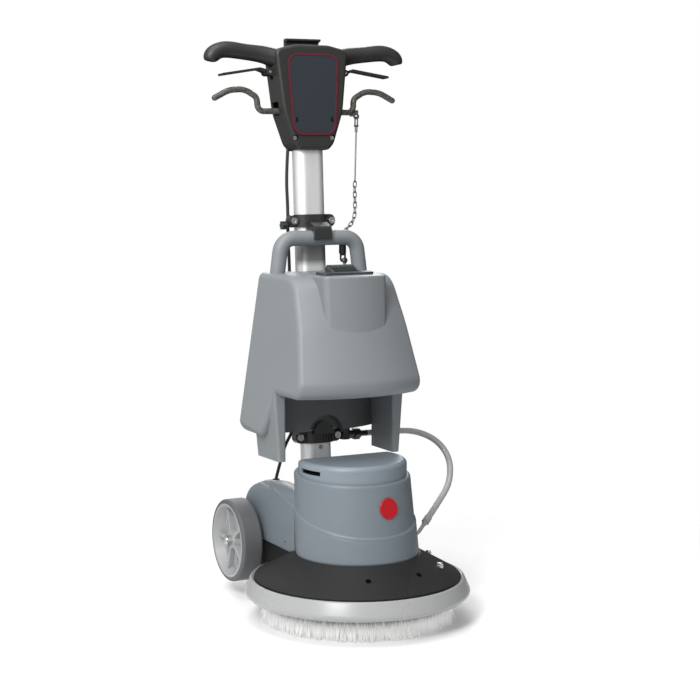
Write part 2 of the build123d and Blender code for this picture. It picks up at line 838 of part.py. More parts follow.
def housing_lid():
    """D-shaped cap with a rounded upper edge and a vent slot on each side."""
    low, high = HOUSING_TOP_Z, HOUSING_TOP_Z + LID_HEIGHT
    cap = plan_prism(lid_face(0), (low - LID_HEIGHT, high))
    cap = fillet(cap.faces().sort_by(Axis.Z)[-1].edges(), LID_ROUND)
    cap -= plan_prism(lid_face(HOUSING_WALL), (low - LID_HEIGHT, high - 2 * HOUSING_WALL))
    slot_z = low + LID_HEIGHT / 2 - 7
    for side in SIDES:
        x = sorted((side * LID_R * 0.7, side * (LID_R + 5)))
        cap -= block(x, (LID_Y - 50, LID_Y + 10), (slot_z, slot_z + VENT_HEIGHT))
    return cap & above_rim(0)


def grommet_place():
    return -82, PIN_Y + 28


def cheek_top(y):
    """Height of the cheek's crown behind its crest, where the cable goes in."""
    fall = (CHEEK_CREST_Z - CHEEK_FALL_Z) / (CHEEK_FALL_Y - CHEEK_CREST_Y)
    return CHEEK_CREST_Z - fall * (y - CHEEK_CREST_Y)


def cable_grommet():
    """Rubber sleeve in the top of the left cheek."""
    x, y = grommet_place()
    top = cheek_top(y) + GROMMET_RISE
    sleeve = rod_z(GROMMET_R, (top - 12, top), (x, y))
    return sleeve - rod_z(CABLE_R + PRESS, (top - 20, top + 5), (x, y))


# Wheels

def wheel_turned(*points):
    """Solid of revolution about the right wheel's axle from (x, radius) points."""
    face = make_face(Polyline(*points, close=True))
    return Pos(0, WHEEL_Y, WHEEL_Z) * revolve(Plane.XZ * face, Axis.X)


def tyre():
    inner = WHEEL_R - TYRE_THICKNESS
    x0, x1 = WHEEL_INNER_X, WHEEL_INNER_X + WHEEL_WIDTH
    face = outline((x0, inner, 0), (x1, inner, 0), (x1, WHEEL_R, 6), (x0, WHEEL_R, 6))
    return Pos(0, WHEEL_Y, WHEEL_Z) * revolve(Plane.XZ * face, Axis.X)


def rim():
    """Dished wheel with a raised lip, a hub and spokes between pockets."""
    x0, x1 = WHEEL_INNER_X, WHEEL_INNER_X + WHEEL_WIDTH
    outer = WHEEL_R - TYRE_THICKNESS - PRESS
    hub_r = AXLE_R + HUB_WALL
    web = x1 - 20
    hub_end = x1 - NUT_SETBACK - 1
    wheel = wheel_turned(
        (x0, AXLE_R + RUN),
        (x0, hub_r),
        (web - 5, hub_r),
        (web - 5, outer - RIM_LIP - 4),
        (x0, outer - RIM_LIP),
        (x0, outer),
        (x1, outer),
        (x1, outer - RIM_LIP),
        (web, outer - RIM_LIP - 10),
        (web, hub_r),
        (hub_end, hub_r - 3),
        (hub_end, AXLE_R + RUN),
    )
    pocket_r = (hub_r + outer) / 2 - 4
    pocket = rod_x(10, (web - 3, web + 1), (WHEEL_Y + pocket_r, WHEEL_Z))
    reach = (WHEEL_Y + hub_r - 4, WHEEL_Y + outer - RIM_LIP - 6)
    spoke = block((web, hub_end - 1), reach, (WHEEL_Z - 4, WHEEL_Z + 4))
    axis = Axis((0, WHEEL_Y, WHEEL_Z), (1, 0, 0))
    for i in range(WHEEL_SPOKES):
        turn = i * 360 / WHEEL_SPOKES
        wheel -= pocket.rotate(axis, turn + 180 / WHEEL_SPOKES)
        wheel += spoke.rotate(axis, turn)
    return wheel


def axle():
    """Bar through both wheels with a dome nut on each end."""
    x0 = WHEEL_INNER_X + WHEEL_WIDTH - NUT_SETBACK
    nut = side_prism(Pos(WHEEL_Y, WHEEL_Z) * RegularPolygon(11, 6), (x0, x0 + 9))
    dome = rod_x(AXLE_R, (x0 + 9, x0 + 13), (WHEEL_Y, WHEEL_Z))
    nut += fillet(dome.faces().sort_by(Axis.X)[-1].edges(), 3)
    return rod_x(AXLE_R, (-x0 - 9, x0 + 9), (WHEEL_Y, WHEEL_Z)) + nut + mirrored(nut)


def axle_arm():
    """Plate on the side of the deck's bridge, with a sleeve round the axle."""
    front = DECK_SHOULDER_R + 14
    low = deck_height(hypot(BRIDGE_HALF, front)) + 4
    face = outline(
        (front, low, 0),
        (front, BRIDGE_TOP_Z + 13, 6),
        (WHEEL_Y - 52, BRIDGE_TOP_Z + 13, 20),
        (WHEEL_Y, WHEEL_Z + ARM_BOSS_R, 0),
        (WHEEL_Y, WHEEL_Z - ARM_BOSS_R, 0),
        (BRIDGE_REAR + 16, DECK_RIM_Z + 8, 10),
        (BRIDGE_REAR - 8, DECK_RIM_Z + 12, 10),
    )
    span = (BRIDGE_HALF - 2, BRIDGE_HALF + ARM_T)
    arm = side_prism(face, span) + rod_x(ARM_BOSS_R, span, (WHEEL_Y, WHEEL_Z))
    arm += rod_x(BRIDGE_TOP_Z - WHEEL_Z - 1, (span[0], WHEEL_INNER_X - 1), (WHEEL_Y, WHEEL_Z))
    return arm - rod_x(AXLE_R + PRESS, (0, WHEEL_INNER_X), (WHEEL_Y, WHEEL_Z))


# Column hinge

def hinge_bracket():
    """Base on the bridge with two ears, the hinge pin and the notched quadrant."""
    base_top = BRIDGE_TOP_Z + BRACKET_BASE_T
    reach = LUG_HALF + SLIP + EAR_T
    bracket = block((-reach, reach), (PIN_Y - 32, BRIDGE_REAR), (BRIDGE_TOP_Z, base_top))
    ear = outline(
        (PIN_Y - 28, BRIDGE_TOP_Z, 0),
        (PIN_Y - LUG_R, PIN_Z + 2, 8),
        (PIN_Y - 8, PIN_Z + LUG_R, 8),
        (PIN_Y + 8, PIN_Z + LUG_R, 8),
        (PIN_Y + LUG_R, PIN_Z + 2, 8),
        (BRIDGE_REAR, BRIDGE_TOP_Z, 0),
    )
    for side in SIDES:
        x = sorted((side * (LUG_HALF + SLIP), side * reach))
        bracket += side_prism(ear, x)
    return bracket + rod_x(PIN_R, (-reach - 2, reach + 2), (PIN_Y, PIN_Z)) + tilt_quadrant()


def quadrant_span():
    middle = LOCK_ROD_X - QUADRANT_T / 2
    return middle, middle + QUADRANT_T


def tilt_quadrant():
    """Notched plate concentric with the hinge pin."""
    face = Circle(QUADRANT_R) + Pos(0, -QUADRANT_R / 2) * Rectangle(2 * LUG_R, QUADRANT_R)
    for i in range(QUADRANT_NOTCHES):
        tilt = COLUMN_LEAN + i * NOTCH_PITCH
        face -= Rot(0, 0, -tilt) * Pos(0, QUADRANT_R) * Rectangle(3, 5)
    plate = side_prism(Pos(PIN_Y, PIN_Z) * face, quadrant_span())
    below = (BRIDGE_TOP_Z - 2 * QUADRANT_R, BRIDGE_TOP_Z)
    return plate - block((-2 * LUG_HALF, 2 * LUG_HALF), (PIN_Y - 60, PIN_Y + 60), below)


def tube_outline(grow):
    return RectangleRounded(TUBE_WIDTH + 2 * grow, TUBE_DEPTH + 2 * grow, TUBE_CORNER + grow)


def handle_tube():
    face = tube_outline(0) - tube_outline(-TUBE_WALL)
    tube = plan_prism(face, (TUBE_START, TUBE_END))
    return tube - rod_y(2.5, (-TUBE_DEPTH, 0), (0, FOOT_BOLT_W))


def column_foot():
    """Casting in the lower end of the tube, with the hinge lug beside the quadrant."""
    shoulder = QUADRANT_R + 6
    lug_x = (quadrant_span()[1] + 1, LUG_HALF)
    foot = plan_prism(tube_outline(-TUBE_WALL - PRESS), (TUBE_START, FOOT_END))
    foot += plan_prism(tube_outline(0), (shoulder, TUBE_START))
    neck = block(lug_x, (-LUG_R, LUG_R), (0, shoulder))
    foot += neck + rod_x(LUG_R, lug_x, (0, 0))
    foot -= rod_x(PIN_R + RUN, (-2 * LUG_HALF, 2 * LUG_HALF), (0, 0))
    foot -= rod_z(LOCK_ROD_R + RUN, (0, FOOT_END + 1), (LOCK_ROD_X, -LEVER_OFFSET))
    return foot - rod_y(2.5 + PRESS, (-TUBE_DEPTH, -4), (0, FOOT_BOLT_W))


def foot_bolt():
    head = rod_y(4.5, (-TUBE_DEPTH / 2 - 3, -TUBE_DEPTH / 2), (0, FOOT_BOLT_W))
    return head + rod_y(2.5, (-TUBE_DEPTH / 2, -6), (0, FOOT_BOLT_W))


def lock_rod():
    """Rod inside the tube, lifted by the left lever through its eye."""
    tip = QUADRANT_R + 0.6
    place = (LOCK_ROD_X, -LEVER_OFFSET)
    eye_r = LEVER_R + 5
    eye = rod_x(eye_r, (LOCK_ROD_X - 3, LOCK_ROD_X + 3), (-LEVER_OFFSET, LEVER_W))
    eye -= rod_x(LEVER_R + 2, (LOCK_ROD_X - 4, LOCK_ROD_X + 4), (-LEVER_OFFSET, LEVER_W))
    shaft = rod_z(LOCK_ROD_R, (tip + 6, LEVER_W - LEVER_R - 3), place)
    return shaft + rod_z(1.3, (tip, tip + 6), place) + eye


# Clamps

def clamp_split():
    """Where the two clamp halves meet, in front of the tube's middle."""
    return CLAMP_SETBACK - TUBE_DEPTH / 2


def clamp_ears(y):
    half = CLAMP_BOLT_X + CLAMP_EAR_END
    face = RectangleRounded(2 * half, CLAMP_HEIGHT, CLAMP_HEIGHT / 2 - 1)
    return front_prism(face, y)


def clamp_bores(y):
    cut = rod_y(CLAMP_BOLT_R + PRESS, y, (CLAMP_BOLT_X, 0))
    return cut + mirrored(cut)


def clamp_half(front, gap):
    """Half of a two-piece band on the tube, at height zero."""
    split_y = clamp_split()
    band = tube_outline(CLAMP_WALL) - tube_outline(gap)
    solid = plan_prism(band, (-CLAMP_HEIGHT / 2, CLAMP_HEIGHT / 2))
    ears_y = (split_y - CLAMP_EAR_T, split_y) if front else (split_y, split_y + CLAMP_REAR_EAR_T)
    core = plan_prism(tube_outline(gap), (-CLAMP_HEIGHT, CLAMP_HEIGHT))
    keep = (-100, split_y) if front else (split_y, 100)
    solid = solid & block((-100, 100), keep, (-CLAMP_HEIGHT, CLAMP_HEIGHT))
    solid = solid + clamp_ears(ears_y) - core
    return solid - clamp_bores((split_y - 20, split_y + 20))


def clamp_bolts():
    """Two silver bolts, each threaded into the rear half, at height zero."""
    front = clamp_split() - CLAMP_EAR_T
    bolts = []
    for side in SIDES:
        at = (side * CLAMP_BOLT_X, 0)
        bolt = rod_y(CLAMP_BOLT_R, (front, clamp_split() + CLAMP_EAR_T), at)
        bolt += rod_y(CLAMP_HEAD_R, (front - CLAMP_HEAD_H, front), at)
        bolts.append(bolt - front_prism(Pos(*at) * RegularPolygon(3, 6), (front - CLAMP_HEAD_H, front - 2)))
    return bolts


def lower_clamp_front():
    """Front half with ribs, pads under the tank and a half-round tongue in the tank's notch."""
    half = clamp_half(True, PRESS)
    face_y = -TUBE_DEPTH / 2 - CLAMP_WALL
    top = CLAMP_HEIGHT / 2
    for i in range(4):
        half += block((6 + 6 * i, 9 + 6 * i), (face_y - 3, face_y + 3), (2 - top, top))
    tongue_y = (face_y - 16, face_y - 9)
    tongue = front_prism(Pos(0, top) * Circle(TONGUE_R), tongue_y)
    tongue &= block((-TONGUE_R, TONGUE_R), tongue_y, (top - 6, top + TONGUE_R))
    shelf = block((-TONGUE_R, TONGUE_R), (tongue_y[0], face_y + 2), (top - 6, top))
    half = Pos(0, 0, LOWER_CLAMP_W) * (half + tongue + shelf)
    for side in SIDES:
        x = sorted((side * (NOTCH_R + 1), side * (CLAMP_BOLT_X + 11)))
        pad = block(x, (face_y - 10, clamp_split()), (LOWER_CLAMP_W + 8, TANK_FOOT + 10))
        half += pad - LEVEL * block((-200, 200), (-200, 200), (TANK_FOOT, TANK_FOOT + 60))
    return half


def lower_clamp_rear():
    return Pos(0, 0, LOWER_CLAMP_W) * clamp_half(False, PRESS)


def upper_clamp_front():
    """Front half with the hook that holds the tank's carry arch."""
    half = Pos(0, 0, UPPER_CLAMP_W) * clamp_half(True, SLIP)
    bar = arch_centre()
    top = bar[1] + ARCH_R + SEAT_GAP
    front = bar[0] - ARCH_R - SEAT_GAP
    face_y = -TUBE_DEPTH / 2 - CLAMP_WALL + 2
    low = bar[1] - 4
    hook = outline(
        (face_y, UPPER_CLAMP_W, 0),
        (face_y - 18, UPPER_CLAMP_W - 4, 6),
        (front - 7, top + 6, 7),
        (front - 7, low, 2),
        (front, low, 2),
        (front, top, 3),
        (face_y, top, 0),
    )
    return half + side_prism(hook, (-19, 19))


def arch_centre():
    """Middle of the carry arch's bar in the column's frame, as (y, z)."""
    lean = radians(COLUMN_LEAN)
    return ARCH_Y * cos(lean) - ARCH_Z * sin(lean), ARCH_Y * sin(lean) + ARCH_Z * cos(lean)


def knob_place():
    """In the rear ear, below the clamp's bolt, as (y, z) in the column's frame."""
    return clamp_split() + CLAMP_REAR_EAR_T / 2, UPPER_CLAMP_W - KNOB_DROP


def ear_end():
    return -CLAMP_BOLT_X - CLAMP_EAR_END


def upper_clamp_rear():
    """Rear half with the threaded boss for the hand knob on its left ear."""
    half = Pos(0, 0, UPPER_CLAMP_W) * clamp_half(False, SLIP)
    half += rod_x(KNOB_BOSS_R, (ear_end() - 1, -CLAMP_BOLT_X - CLAMP_BOLT_R - 1), knob_place())
    return half - rod_x(KNOB_SCREW_R + RUN, (2 * ear_end(), 0), knob_place())


def clamp_knob():
    """Lobed hand knob whose screw reaches the tube."""
    x1 = ear_end() - 1 - SEAT_GAP
    face = Circle(KNOB_R - 2)
    for i in range(KNOB_LOBES):
        face += Rot(0, 0, i * 360 / KNOB_LOBES) * Pos(KNOB_R - 4, 0) * Circle(3.5)
    head = side_prism(Pos(*knob_place()) * face, (x1 - KNOB_LENGTH, x1))
    return head + rod_x(KNOB_SCREW_R, (x1, -TUBE_WIDTH / 2 - SLIP), knob_place())


# Tank

def tank_half_width(y, z):
    """Where the tank's flat side lies at a depth and height."""
    return TANK_TOP_HALF + SIDE_SLOPE * (TANK_TOP - z) - TANK_TAPER * (TANK_REAR - y)


def tank_sides(inset):
    """Block between the two flared sides and the rear."""
    front = BELLY_Y - 40
    rear = TANK_REAR - inset
    faces = []
    for z in (TANK_FOOT, TANK_TOP):
        near = tank_half_width(front, z) - inset
        far = tank_half_width(rear, z) - inset
        level = Polyline((-far, rear), (far, rear), (near, front), (-near, front), close=True)
        faces.append(Pos(0, 0, z) * make_face(level))
    return loft(faces, ruled=True)


def tank_front(inset):
    """Bowed front, turned about an axis behind the tank."""
    face = outline(
        (TANK_BOW_Y, TANK_ROOF + inset, 0),
        (BELLY_Y + inset, TANK_ROOF + inset, BELLY_R - inset),
        (WAIST_Y + inset, WAIST_Z, 300),
        (SHOULDER_Y + inset, TANK_TOP - BEAK_PROUD - inset, SHOULDER_R - inset),
        (TANK_BOW_Y, TANK_TOP - BEAK_PROUD - inset, 0),
    )
    return revolve(Plane.YZ * face, Axis((0, TANK_BOW_Y, 0), (0, 0, 1)))


def tank_rear(inset):
    """Lower rear part that reaches down to the clamp."""
    face = outline(
        (LEG_FRONT + inset, TANK_ROOF + 20, 0),
        (LEG_FRONT + inset, TANK_ROOF + inset, 0),
        (WING_FRONT + inset, TANK_FOOT + inset, 20),
        (TANK_REAR, TANK_FOOT + inset, 0),
        (TANK_REAR, TANK_ROOF + 20, 0),
    )
    return side_prism(face, (-300, 300))


def recess_between_legs(grow):
    """Room under the tank between its legs, back to a bowed wall."""
    half = LEG_X + grow
    edge = LEG_BACK - 4 + grow
    middle = edge - WALL_BOW
    front = BELLY_Y - 40
    lines = Polyline((-half, edge), (-half, front), (half, front), (half, edge))
    face = make_face(Curve() + lines + ThreePointArc((half, edge), (0, middle), (-half, edge)))
    return plan_prism(face, (LEG_FOOT - 20, TANK_ROOF + grow))


def tube_groove(grow):
    """Channel for the column tube and the cable beside it."""
    half = GROOVE_HALF + grow
    front = -TUBE_DEPTH / 2 - GROOVE_GAP - grow
    return LEVEL.inverse() * block((-half, half), (front, 200), (0, 2 * TANK_TOP))


def beak_section(half, front, rounding):
    """Plan of the filler box, with a bowed front and rounded corners."""
    back = SHOULDER_Y + 60
    side = front + BEAK_BOW
    lines = Polyline((half, side), (half, back), (-half, back), (-half, side))
    face = make_face(Curve() + lines + ThreePointArc((-half, side), (0, front), (half, side)))
    corners = face.vertices().filter_by(lambda v: abs(v.Y - side) < 0.1)
    return fillet(corners, rounding)


def beak(inset):
    """Filler box on the upper front, its front slanting outwards to the foot."""
    rounding = BEAK_ROUND - inset
    top = beak_section(BEAK_HALF - inset, BEAK_FRONT + inset, rounding)
    foot = beak_section(BEAK_HALF - BEAK_NARROWING - inset, BEAK_FRONT - BEAK_SLANT + inset, rounding)
    return loft([Pos(0, 0, TANK_TOP - BEAK_DEPTH) * foot, Pos(0, 0, TANK_TOP - inset) * top], ruled=True)


def tank_body(inset):
    return (tank_front(inset) + tank_rear(inset)) & tank_sides(inset)


def on_tank_side(edge):
    """Whether an edge lies on one of the tank's flat sides, below its rear face."""
    for share in (0, 0.5, 1):
        p = edge @ share
        if abs(abs(p.X) - tank_half_width(p.Y, p.Z)) > 0.01:
            return False
    return (edge @ 0.5).Y < TANK_REAR - 0.1


def leg():
    """Right leg, whose outer face starts flush with the tank's side and closes in below."""
    roof = TANK_ROOF + 5
    stations = [
        (LEG_FOOT, LEG_X + LEG_T, LEG_X + LEG_T + 4),
        (roof, tank_half_width(LEG_FRONT, roof), tank_half_width(LEG_BACK, roof)),
    ]
    faces = []
    for z, near, far in stations:
        face = outline((LEG_X, LEG_FRONT, 5), (near, LEG_FRONT, 5), (far, LEG_BACK, 5), (LEG_X, LEG_BACK, 5))
        faces.append(Pos(0, 0, z) * face)
    return loft(faces, ruled=True)


def round_corners(inset):
    """Room between the sides with the two lower corners rounded, seen from the front."""
    low, high = TANK_FOOT + inset, 2 * TANK_TOP
    right = [
        (tank_half_width(TANK_REAR, low) + 1 - inset, low, TANK_CORNER - inset),
        (tank_half_width(TANK_REAR, high) + 1 - inset, high, 0),
    ]
    left = [(-x, z, r) for x, z, r in reversed(right)]
    return front_prism(outline(*right, *left), (BELLY_Y - 60, TANK_REAR + 10))


def carry_arch():
    foot = TANK_TOP - 8
    right = [(ARCH_TOP_X, ARCH_Y, ARCH_Z), (ARCH_FOOT_X, ARCH_Y, foot)]
    left = [(-x, y, z) for x, y, z in reversed(right)]
    return tube_along(FilletPolyline(*left, *right, radius=ARCH_BEND), ARCH_R)


def tank():
    body = tank_body(0)
    body = fillet(body.edges().filter_by(on_tank_side), TANK_EDGE) & round_corners(0)
    body -= recess_between_legs(0)
    box = beak(0)
    box = fillet(box.faces().sort_by(Axis.Z)[-1].edges(), BEAK_EDGE)
    body += box + leg() + mirrored(leg())
    inside = tank_body(TANK_WALL) & round_corners(TANK_WALL)
    inside = inside - recess_between_legs(TANK_WALL) + beak(TANK_WALL)
    inside -= tube_groove(TANK_WALL)
    inside -= rod_y(NOTCH_R + TANK_WALL, (-100, TANK_REAR), (0, NOTCH_CENTRE))
    body -= tube_groove(0)
    body -= rod_y(NOTCH_R, (-100, NOTCH_BACK), (0, NOTCH_CENTRE))
    half = LID_PLATE_HALF - MOUTH_MARGIN
    near, far = LID_PLATE_FRONT + MOUTH_MARGIN, lid_notch() - MOUTH_MARGIN
    mouth = outline((-half, near, 5), (half, near, 5), (half, far, 5), (-half, far, 5))
    body = body - inside - plan_prism(mouth, (TANK_TOP - 2 * TANK_WALL, TANK_TOP + 1))
    body += carry_arch() & block((-200, 200), (-200, 200), (TANK_TOP - TANK_WALL, 2 * TANK_TOP))
    body -= rod_z(VALVE_ROD_R + RUN, (TANK_TOP - 10, TANK_TOP + 1), (VALVE_X, VALVE_Y))
    return body - rod_z(OUTLET_R, (TANK_FOOT - 1, TANK_FOOT + TANK_WALL + 1), (VALVE_X, VALVE_Y))


def lid_notch():
    """Edge of the lid's notch in front of the hinge block."""
    return HINGE_Y - 14.5


def hinge_z():
    return TANK_TOP + HINGE_RISE


def filler_lid():
    """Flat lid, notched round the hinge block, with two ears on the hinge pin."""
    half, rear = LID_PLATE_HALF, HINGE_Y - 1
    notch_half = HINGE_BLOCK_HALF + SLIP
    notch = lid_notch()
    right = [(half, LID_PLATE_FRONT, 10), (half, rear, 4), (notch_half, rear, 0), (notch_half, notch, 0)]
    left = [(-x, y, r) for x, y, r in reversed(right)]
    plate = plan_prism(outline(*right, *left), (TANK_TOP, TANK_TOP + LID_PLATE_T))
    ear = outline(
        (notch - 16, TANK_TOP, 0),
        (notch - 16, TANK_TOP + LID_PLATE_T, 2),
        (HINGE_Y - 4, hinge_z() + 6, 4),
        (HINGE_Y + 6, hinge_z() + 6, 5),
        (HINGE_Y + 6, hinge_z() - 6, 5),
        (HINGE_Y - 6, hinge_z() - 6, 2),
        (notch, TANK_TOP, 0),
    )
    for side in SIDES:
        x = sorted((side * notch_half, side * (HINGE_BLOCK_HALF + LID_EAR_T)))
        plate += side_prism(ear, x)
    return plate - rod_x(HINGE_PIN_R + RUN, (-half, half), (HINGE_Y, hinge_z()))


def lid_hinge_block():
    """Raised block on the tank with the pin that the filler lid turns on."""
    face = outline(
        (HINGE_Y - 10, TANK_TOP, 0),
        (HINGE_Y - 10, hinge_z() + 9, 5),
        (HINGE_Y + 12, hinge_z() + 9, 5),
        (HINGE_Y + 14, TANK_TOP, 0),
    )
    half = HINGE_BLOCK_HALF + LID_EAR_T + 1
    raised = side_prism(face, (-HINGE_BLOCK_HALF, HINGE_BLOCK_HALF))
    return raised + rod_x(HINGE_PIN_R, (-half, half), (HINGE_Y, hinge_z()))


# Dosing line

def outlet_z():
    return TANK_FOOT - OUTLET_DROP


def outlet_valve():
    """Black elbow under the tank with a ribbed barb for the hose."""
    z = outlet_z()
    body = rod_z(VALVE_BODY_R, (z - 9, TANK_FOOT), (VALVE_X, VALVE_Y))
    body += rod_x(9, (VALVE_X, VALVE_X + 36), (VALVE_Y, z))
    body += side_prism(Pos(VALVE_Y, z) * RegularPolygon(13, 6), (VALVE_X + 20, VALVE_X + 32))
    body += rod_x(HOSE_R - 1, (VALVE_X + 36, BARB_END), (VALVE_Y, z))
    for x in (BARB_END - 4, BARB_END - 10):
        body += rod_x(HOSE_R, (x, x + 2), (VALVE_Y, z))
    bore = rod_z(OUTLET_R, (z, TANK_FOOT + 1), (VALVE_X, VALVE_Y))
    return body - bore - rod_x(OUTLET_R - 1.5, (VALVE_X, BARB_END + 1), (VALVE_Y, z))


def hose_route():
    """From the barb round to the reducer, in the part's frame."""
    start = Vector(BARB_END, PIN_Y + VALVE_Y, PIN_Z + outlet_z())
    end = Vector(*reducer_place())
    upper = [(0, 0, 0), (56, 0, 0), (115, -6, -3), (158, -26, -25), (173, -54, -62)]
    lower = [(77, 45, 58), (38, 21, 27), (0, 0, 0)]
    return [start + Vector(*p) for p in upper] + [end + Vector(*p) for p in lower]


def reducer_place():
    x, y = inlet_place()
    return x + 58, y + 24, deck_height(hypot(x, y)) + 48


def feed_route():
    """On from the hose in the same direction, then down into the deck."""
    x, y = inlet_place()
    before, start = hose_route()[-2:]
    along = (start - before).normalized()
    seat = deck_height(hypot(x, y))
    return [start, start + along * 44, Vector(x, y, seat + 12), Vector(x, y, seat - 10)]


def feed_pipe():
    """Thin rigid pipe into the deck, with the hose's reducer on its upper end."""
    route = feed_route()
    pipe = tube_along(FilletPolyline(*route, radius=12), FEED_R)
    along = (route[1] - route[0]).normalized()
    collar = Plane(route[0], z_dir=along) * Pos(0, 0, 8) * Cylinder(HOSE_R + 1.5, 16)
    cone = Plane(route[0] + along * 16, z_dir=along) * Pos(0, 0, 4) * Cone(HOSE_R, FEED_R + 0.5, 8)
    return pipe + collar + cone + inlet_seat()


def valve_rod():
    """Rod through the tank with the plug on its lower end and an eye on top."""
    low = TANK_FOOT + TANK_WALL
    at = (VALVE_X, VALVE_Y)
    rod = rod_z(VALVE_ROD_R, (low, TANK_TOP + 14), at) + rod_z(VALVE_PLUG_R, (low, low + 6), at)
    eye_z = TANK_TOP + VALVE_EYE_RISE
    eye = rod_y(6, (VALVE_Y - 2, VALVE_Y + 2), (VALVE_X, eye_z))
    return rod + eye - rod_y(3.5, (VALVE_Y - 5, VALVE_Y + 5), (VALVE_X, eye_z))


def lever_eye():
    """Hole of the water lever's lug in the tank's frame."""
    lean = radians(COLUMN_LEAN)
    y, z = LEVER_OFFSET, LEVER_W - LUG_DROP
    return LUG_X, y * cos(lean) + z * sin(lean), -y * sin(lean) + z * cos(lean)


def chain_route():
    """Slack chain from the end of the pull wire to the snap clip, in the tank's frame."""
    end = Vector(VALVE_X, VALVE_Y + CLIP_OFFSET, ARCH_Z - 2)
    steps = [(39, 21, 114), (37, 17, 66), (28, 11, 32), (9, 4, 15), (0, 0, 0)]
    return Spline(*[end + Vector(*p) for p in steps])


def pull_wire():
    """Stirrup in the lug of the water lever, with the wire down to a ring in the chain."""
    x, y, z = lever_eye()
    z -= LUG_HOLE_R - STIRRUP_R - SLIP
    wire = rod_y(STIRRUP_R, (y - 7, y + 7), (x, z))
    for side in SIDES:
        wire += rod_z(STIRRUP_R, (z - 17, z + STIRRUP_R), (x, y + side * 5.5))
    wire += block((x - 2, x + 2), (y - 7, y + 7), (z - 20, z - 16))
    link = chain_place(0)
    ring = link * Pos(0, 0, -LINK_LENGTH / 2 + LINK_WIRE / 2) * Rot(0, 90, 0) * Torus(2.7, 0.9)
    top = Vector(x, y, z - 19)
    end = (link * Location((0, 0, -LINK_LENGTH / 2 - 2))).position
    along = (end - top).normalized()
    length = (end - top).length
    wire += Plane(top, z_dir=along) * Pos(0, 0, length / 2) * Cylinder(WIRE_R, length)
    wire += Plane(top, z_dir=along) * Pos(0, 0, 6) * Cylinder(WIRE_R + 1.3, 12)
    return wire + ring


def chain_link():
    """Oval link with its length along Z, flat in Y."""
    face = SlotOverall(LINK_LENGTH, LINK_WIDTH, rotation=90)
    face -= SlotOverall(LINK_LENGTH - 2 * LINK_WIRE, LINK_WIDTH - 2 * LINK_WIRE, rotation=90)
    return front_prism(face, (-LINK_WIRE / 2, LINK_WIRE / 2))


def chain_place(index):
    """Place of a link, turned by a quarter from one to the next."""
    path = chain_route()
    share = (index + 0.5) / LINKS
    along = path % share
    across = Vector(0, 1, 0).cross(along).normalized()
    plane = Plane(path @ share, x_dir=across, z_dir=along)
    return plane.location * Rot(0, 0, 90 * (index % 2))


def pull_chain():
    return Compound([chain_place(i) * chain_link() for i in range(LINKS)])


def snap_clip():
    """Oval spring clip between the chain's last link and the eye of the valve rod."""
    link = chain_place(LINKS - 1) * Location((0, 0, LINK_LENGTH / 2 - LINK_WIRE))
    top = link.position.Z + CLIP_BAR + 1
    eye_z = TANK_TOP + VALVE_EYE_RISE
    low = eye_z - 4
    y = VALVE_Y + CLIP_OFFSET
    face = SlotOverall(top - low, 13, rotation=90) - SlotOverall(top - low - 2 * CLIP_BAR, 7, rotation=90)
    clip = front_prism(Pos(VALVE_X, (top + low) / 2) * face, (y - CLIP_T / 2, y + CLIP_T / 2))
    clip += block((VALVE_X - 3, VALVE_X + 3), (y - 3, y), (low, eye_z + 1))
    return clip + rod_y(1.8, (VALVE_Y - 5, y), (VALVE_X, eye_z - 1))


# Handle head

def head_outline(inset):
    """Front outline of the head, wide at the grips and narrow at the tube."""
    right = [
        (HEAD_FOOT_HALF - inset, HEAD_BOTTOM + inset, 14),
        (HEAD_LOW_HALF - inset, HEAD_LOW_W, 30),
        (HEAD_MID_HALF - inset, HEAD_MID_W, 120),
        (HEAD_TOP_HALF - inset, HEAD_TOP - HEAD_SHOULDER - inset, 14),
        (HOOK_HALF - inset, HEAD_TOP - inset, 40),
    ]
    left = [(-x, z, r) for x, z, r in reversed(right)]
    return outline(*right, *left)


def grip_stations():
    """Place, height, depth and droop of the sections along the right grip."""
    return [
        (HEAD_TOP_HALF - 14, HEAD_TOP - HEAD_SHOULDER - 18, 44, 62, 0),
        (HEAD_TOP_HALF + 6, HEAD_TOP - HEAD_SHOULDER - 11, 37, 46, 1),
        (GRIP_TIP_X - 108, HEAD_TOP - 17, 34, 36, 2),
        (GRIP_TIP_X - 68, HEAD_TOP - 12.5, 33, 34, 4),
        (GRIP_TIP_X - 36, HEAD_TOP - 11, 33, 34, -8),
        (GRIP_TIP_X - 16, HEAD_TOP - 18.5, 33, 33, -42),
        (GRIP_TIP_X - 6, HEAD_TOP - 34, 22, 26, -78),
    ]


def grip():
    """Right grip: ovals that swing down into a horn at the end."""
    sections = []
    for x, z, height, depth, droop in grip_stations():
        along = (cos(radians(droop)), 0, sin(radians(droop)))
        plane = Plane((x, GRIP_Y, z), x_dir=(0, 1, 0), z_dir=along)
        sections.append(plane * Ellipse(depth / 2, height / 2))
    horn = loft(sections)
    tip = horn.faces().sort_by(Axis.X)[-1]
    return fillet(tip.edges(), 5)


def switch_ears():
    """Ears on the head's side that carry a switch lever's pin."""
    ears = []
    for y in (-SWITCH_WIDTH / 2 - 5, SWITCH_WIDTH / 2 + SLIP):
        span = (y, y + 5 - SLIP)
        ear = rod_y(7, span, (SWITCH_PIVOT_X, SWITCH_PIVOT_W))
        ear += block((HEAD_MID_HALF - 2, SWITCH_PIVOT_X), span, (SWITCH_PIVOT_W - 7, SWITCH_PIVOT_W + 7))
        ears.append(ear)
    return ears[0] + ears[1]


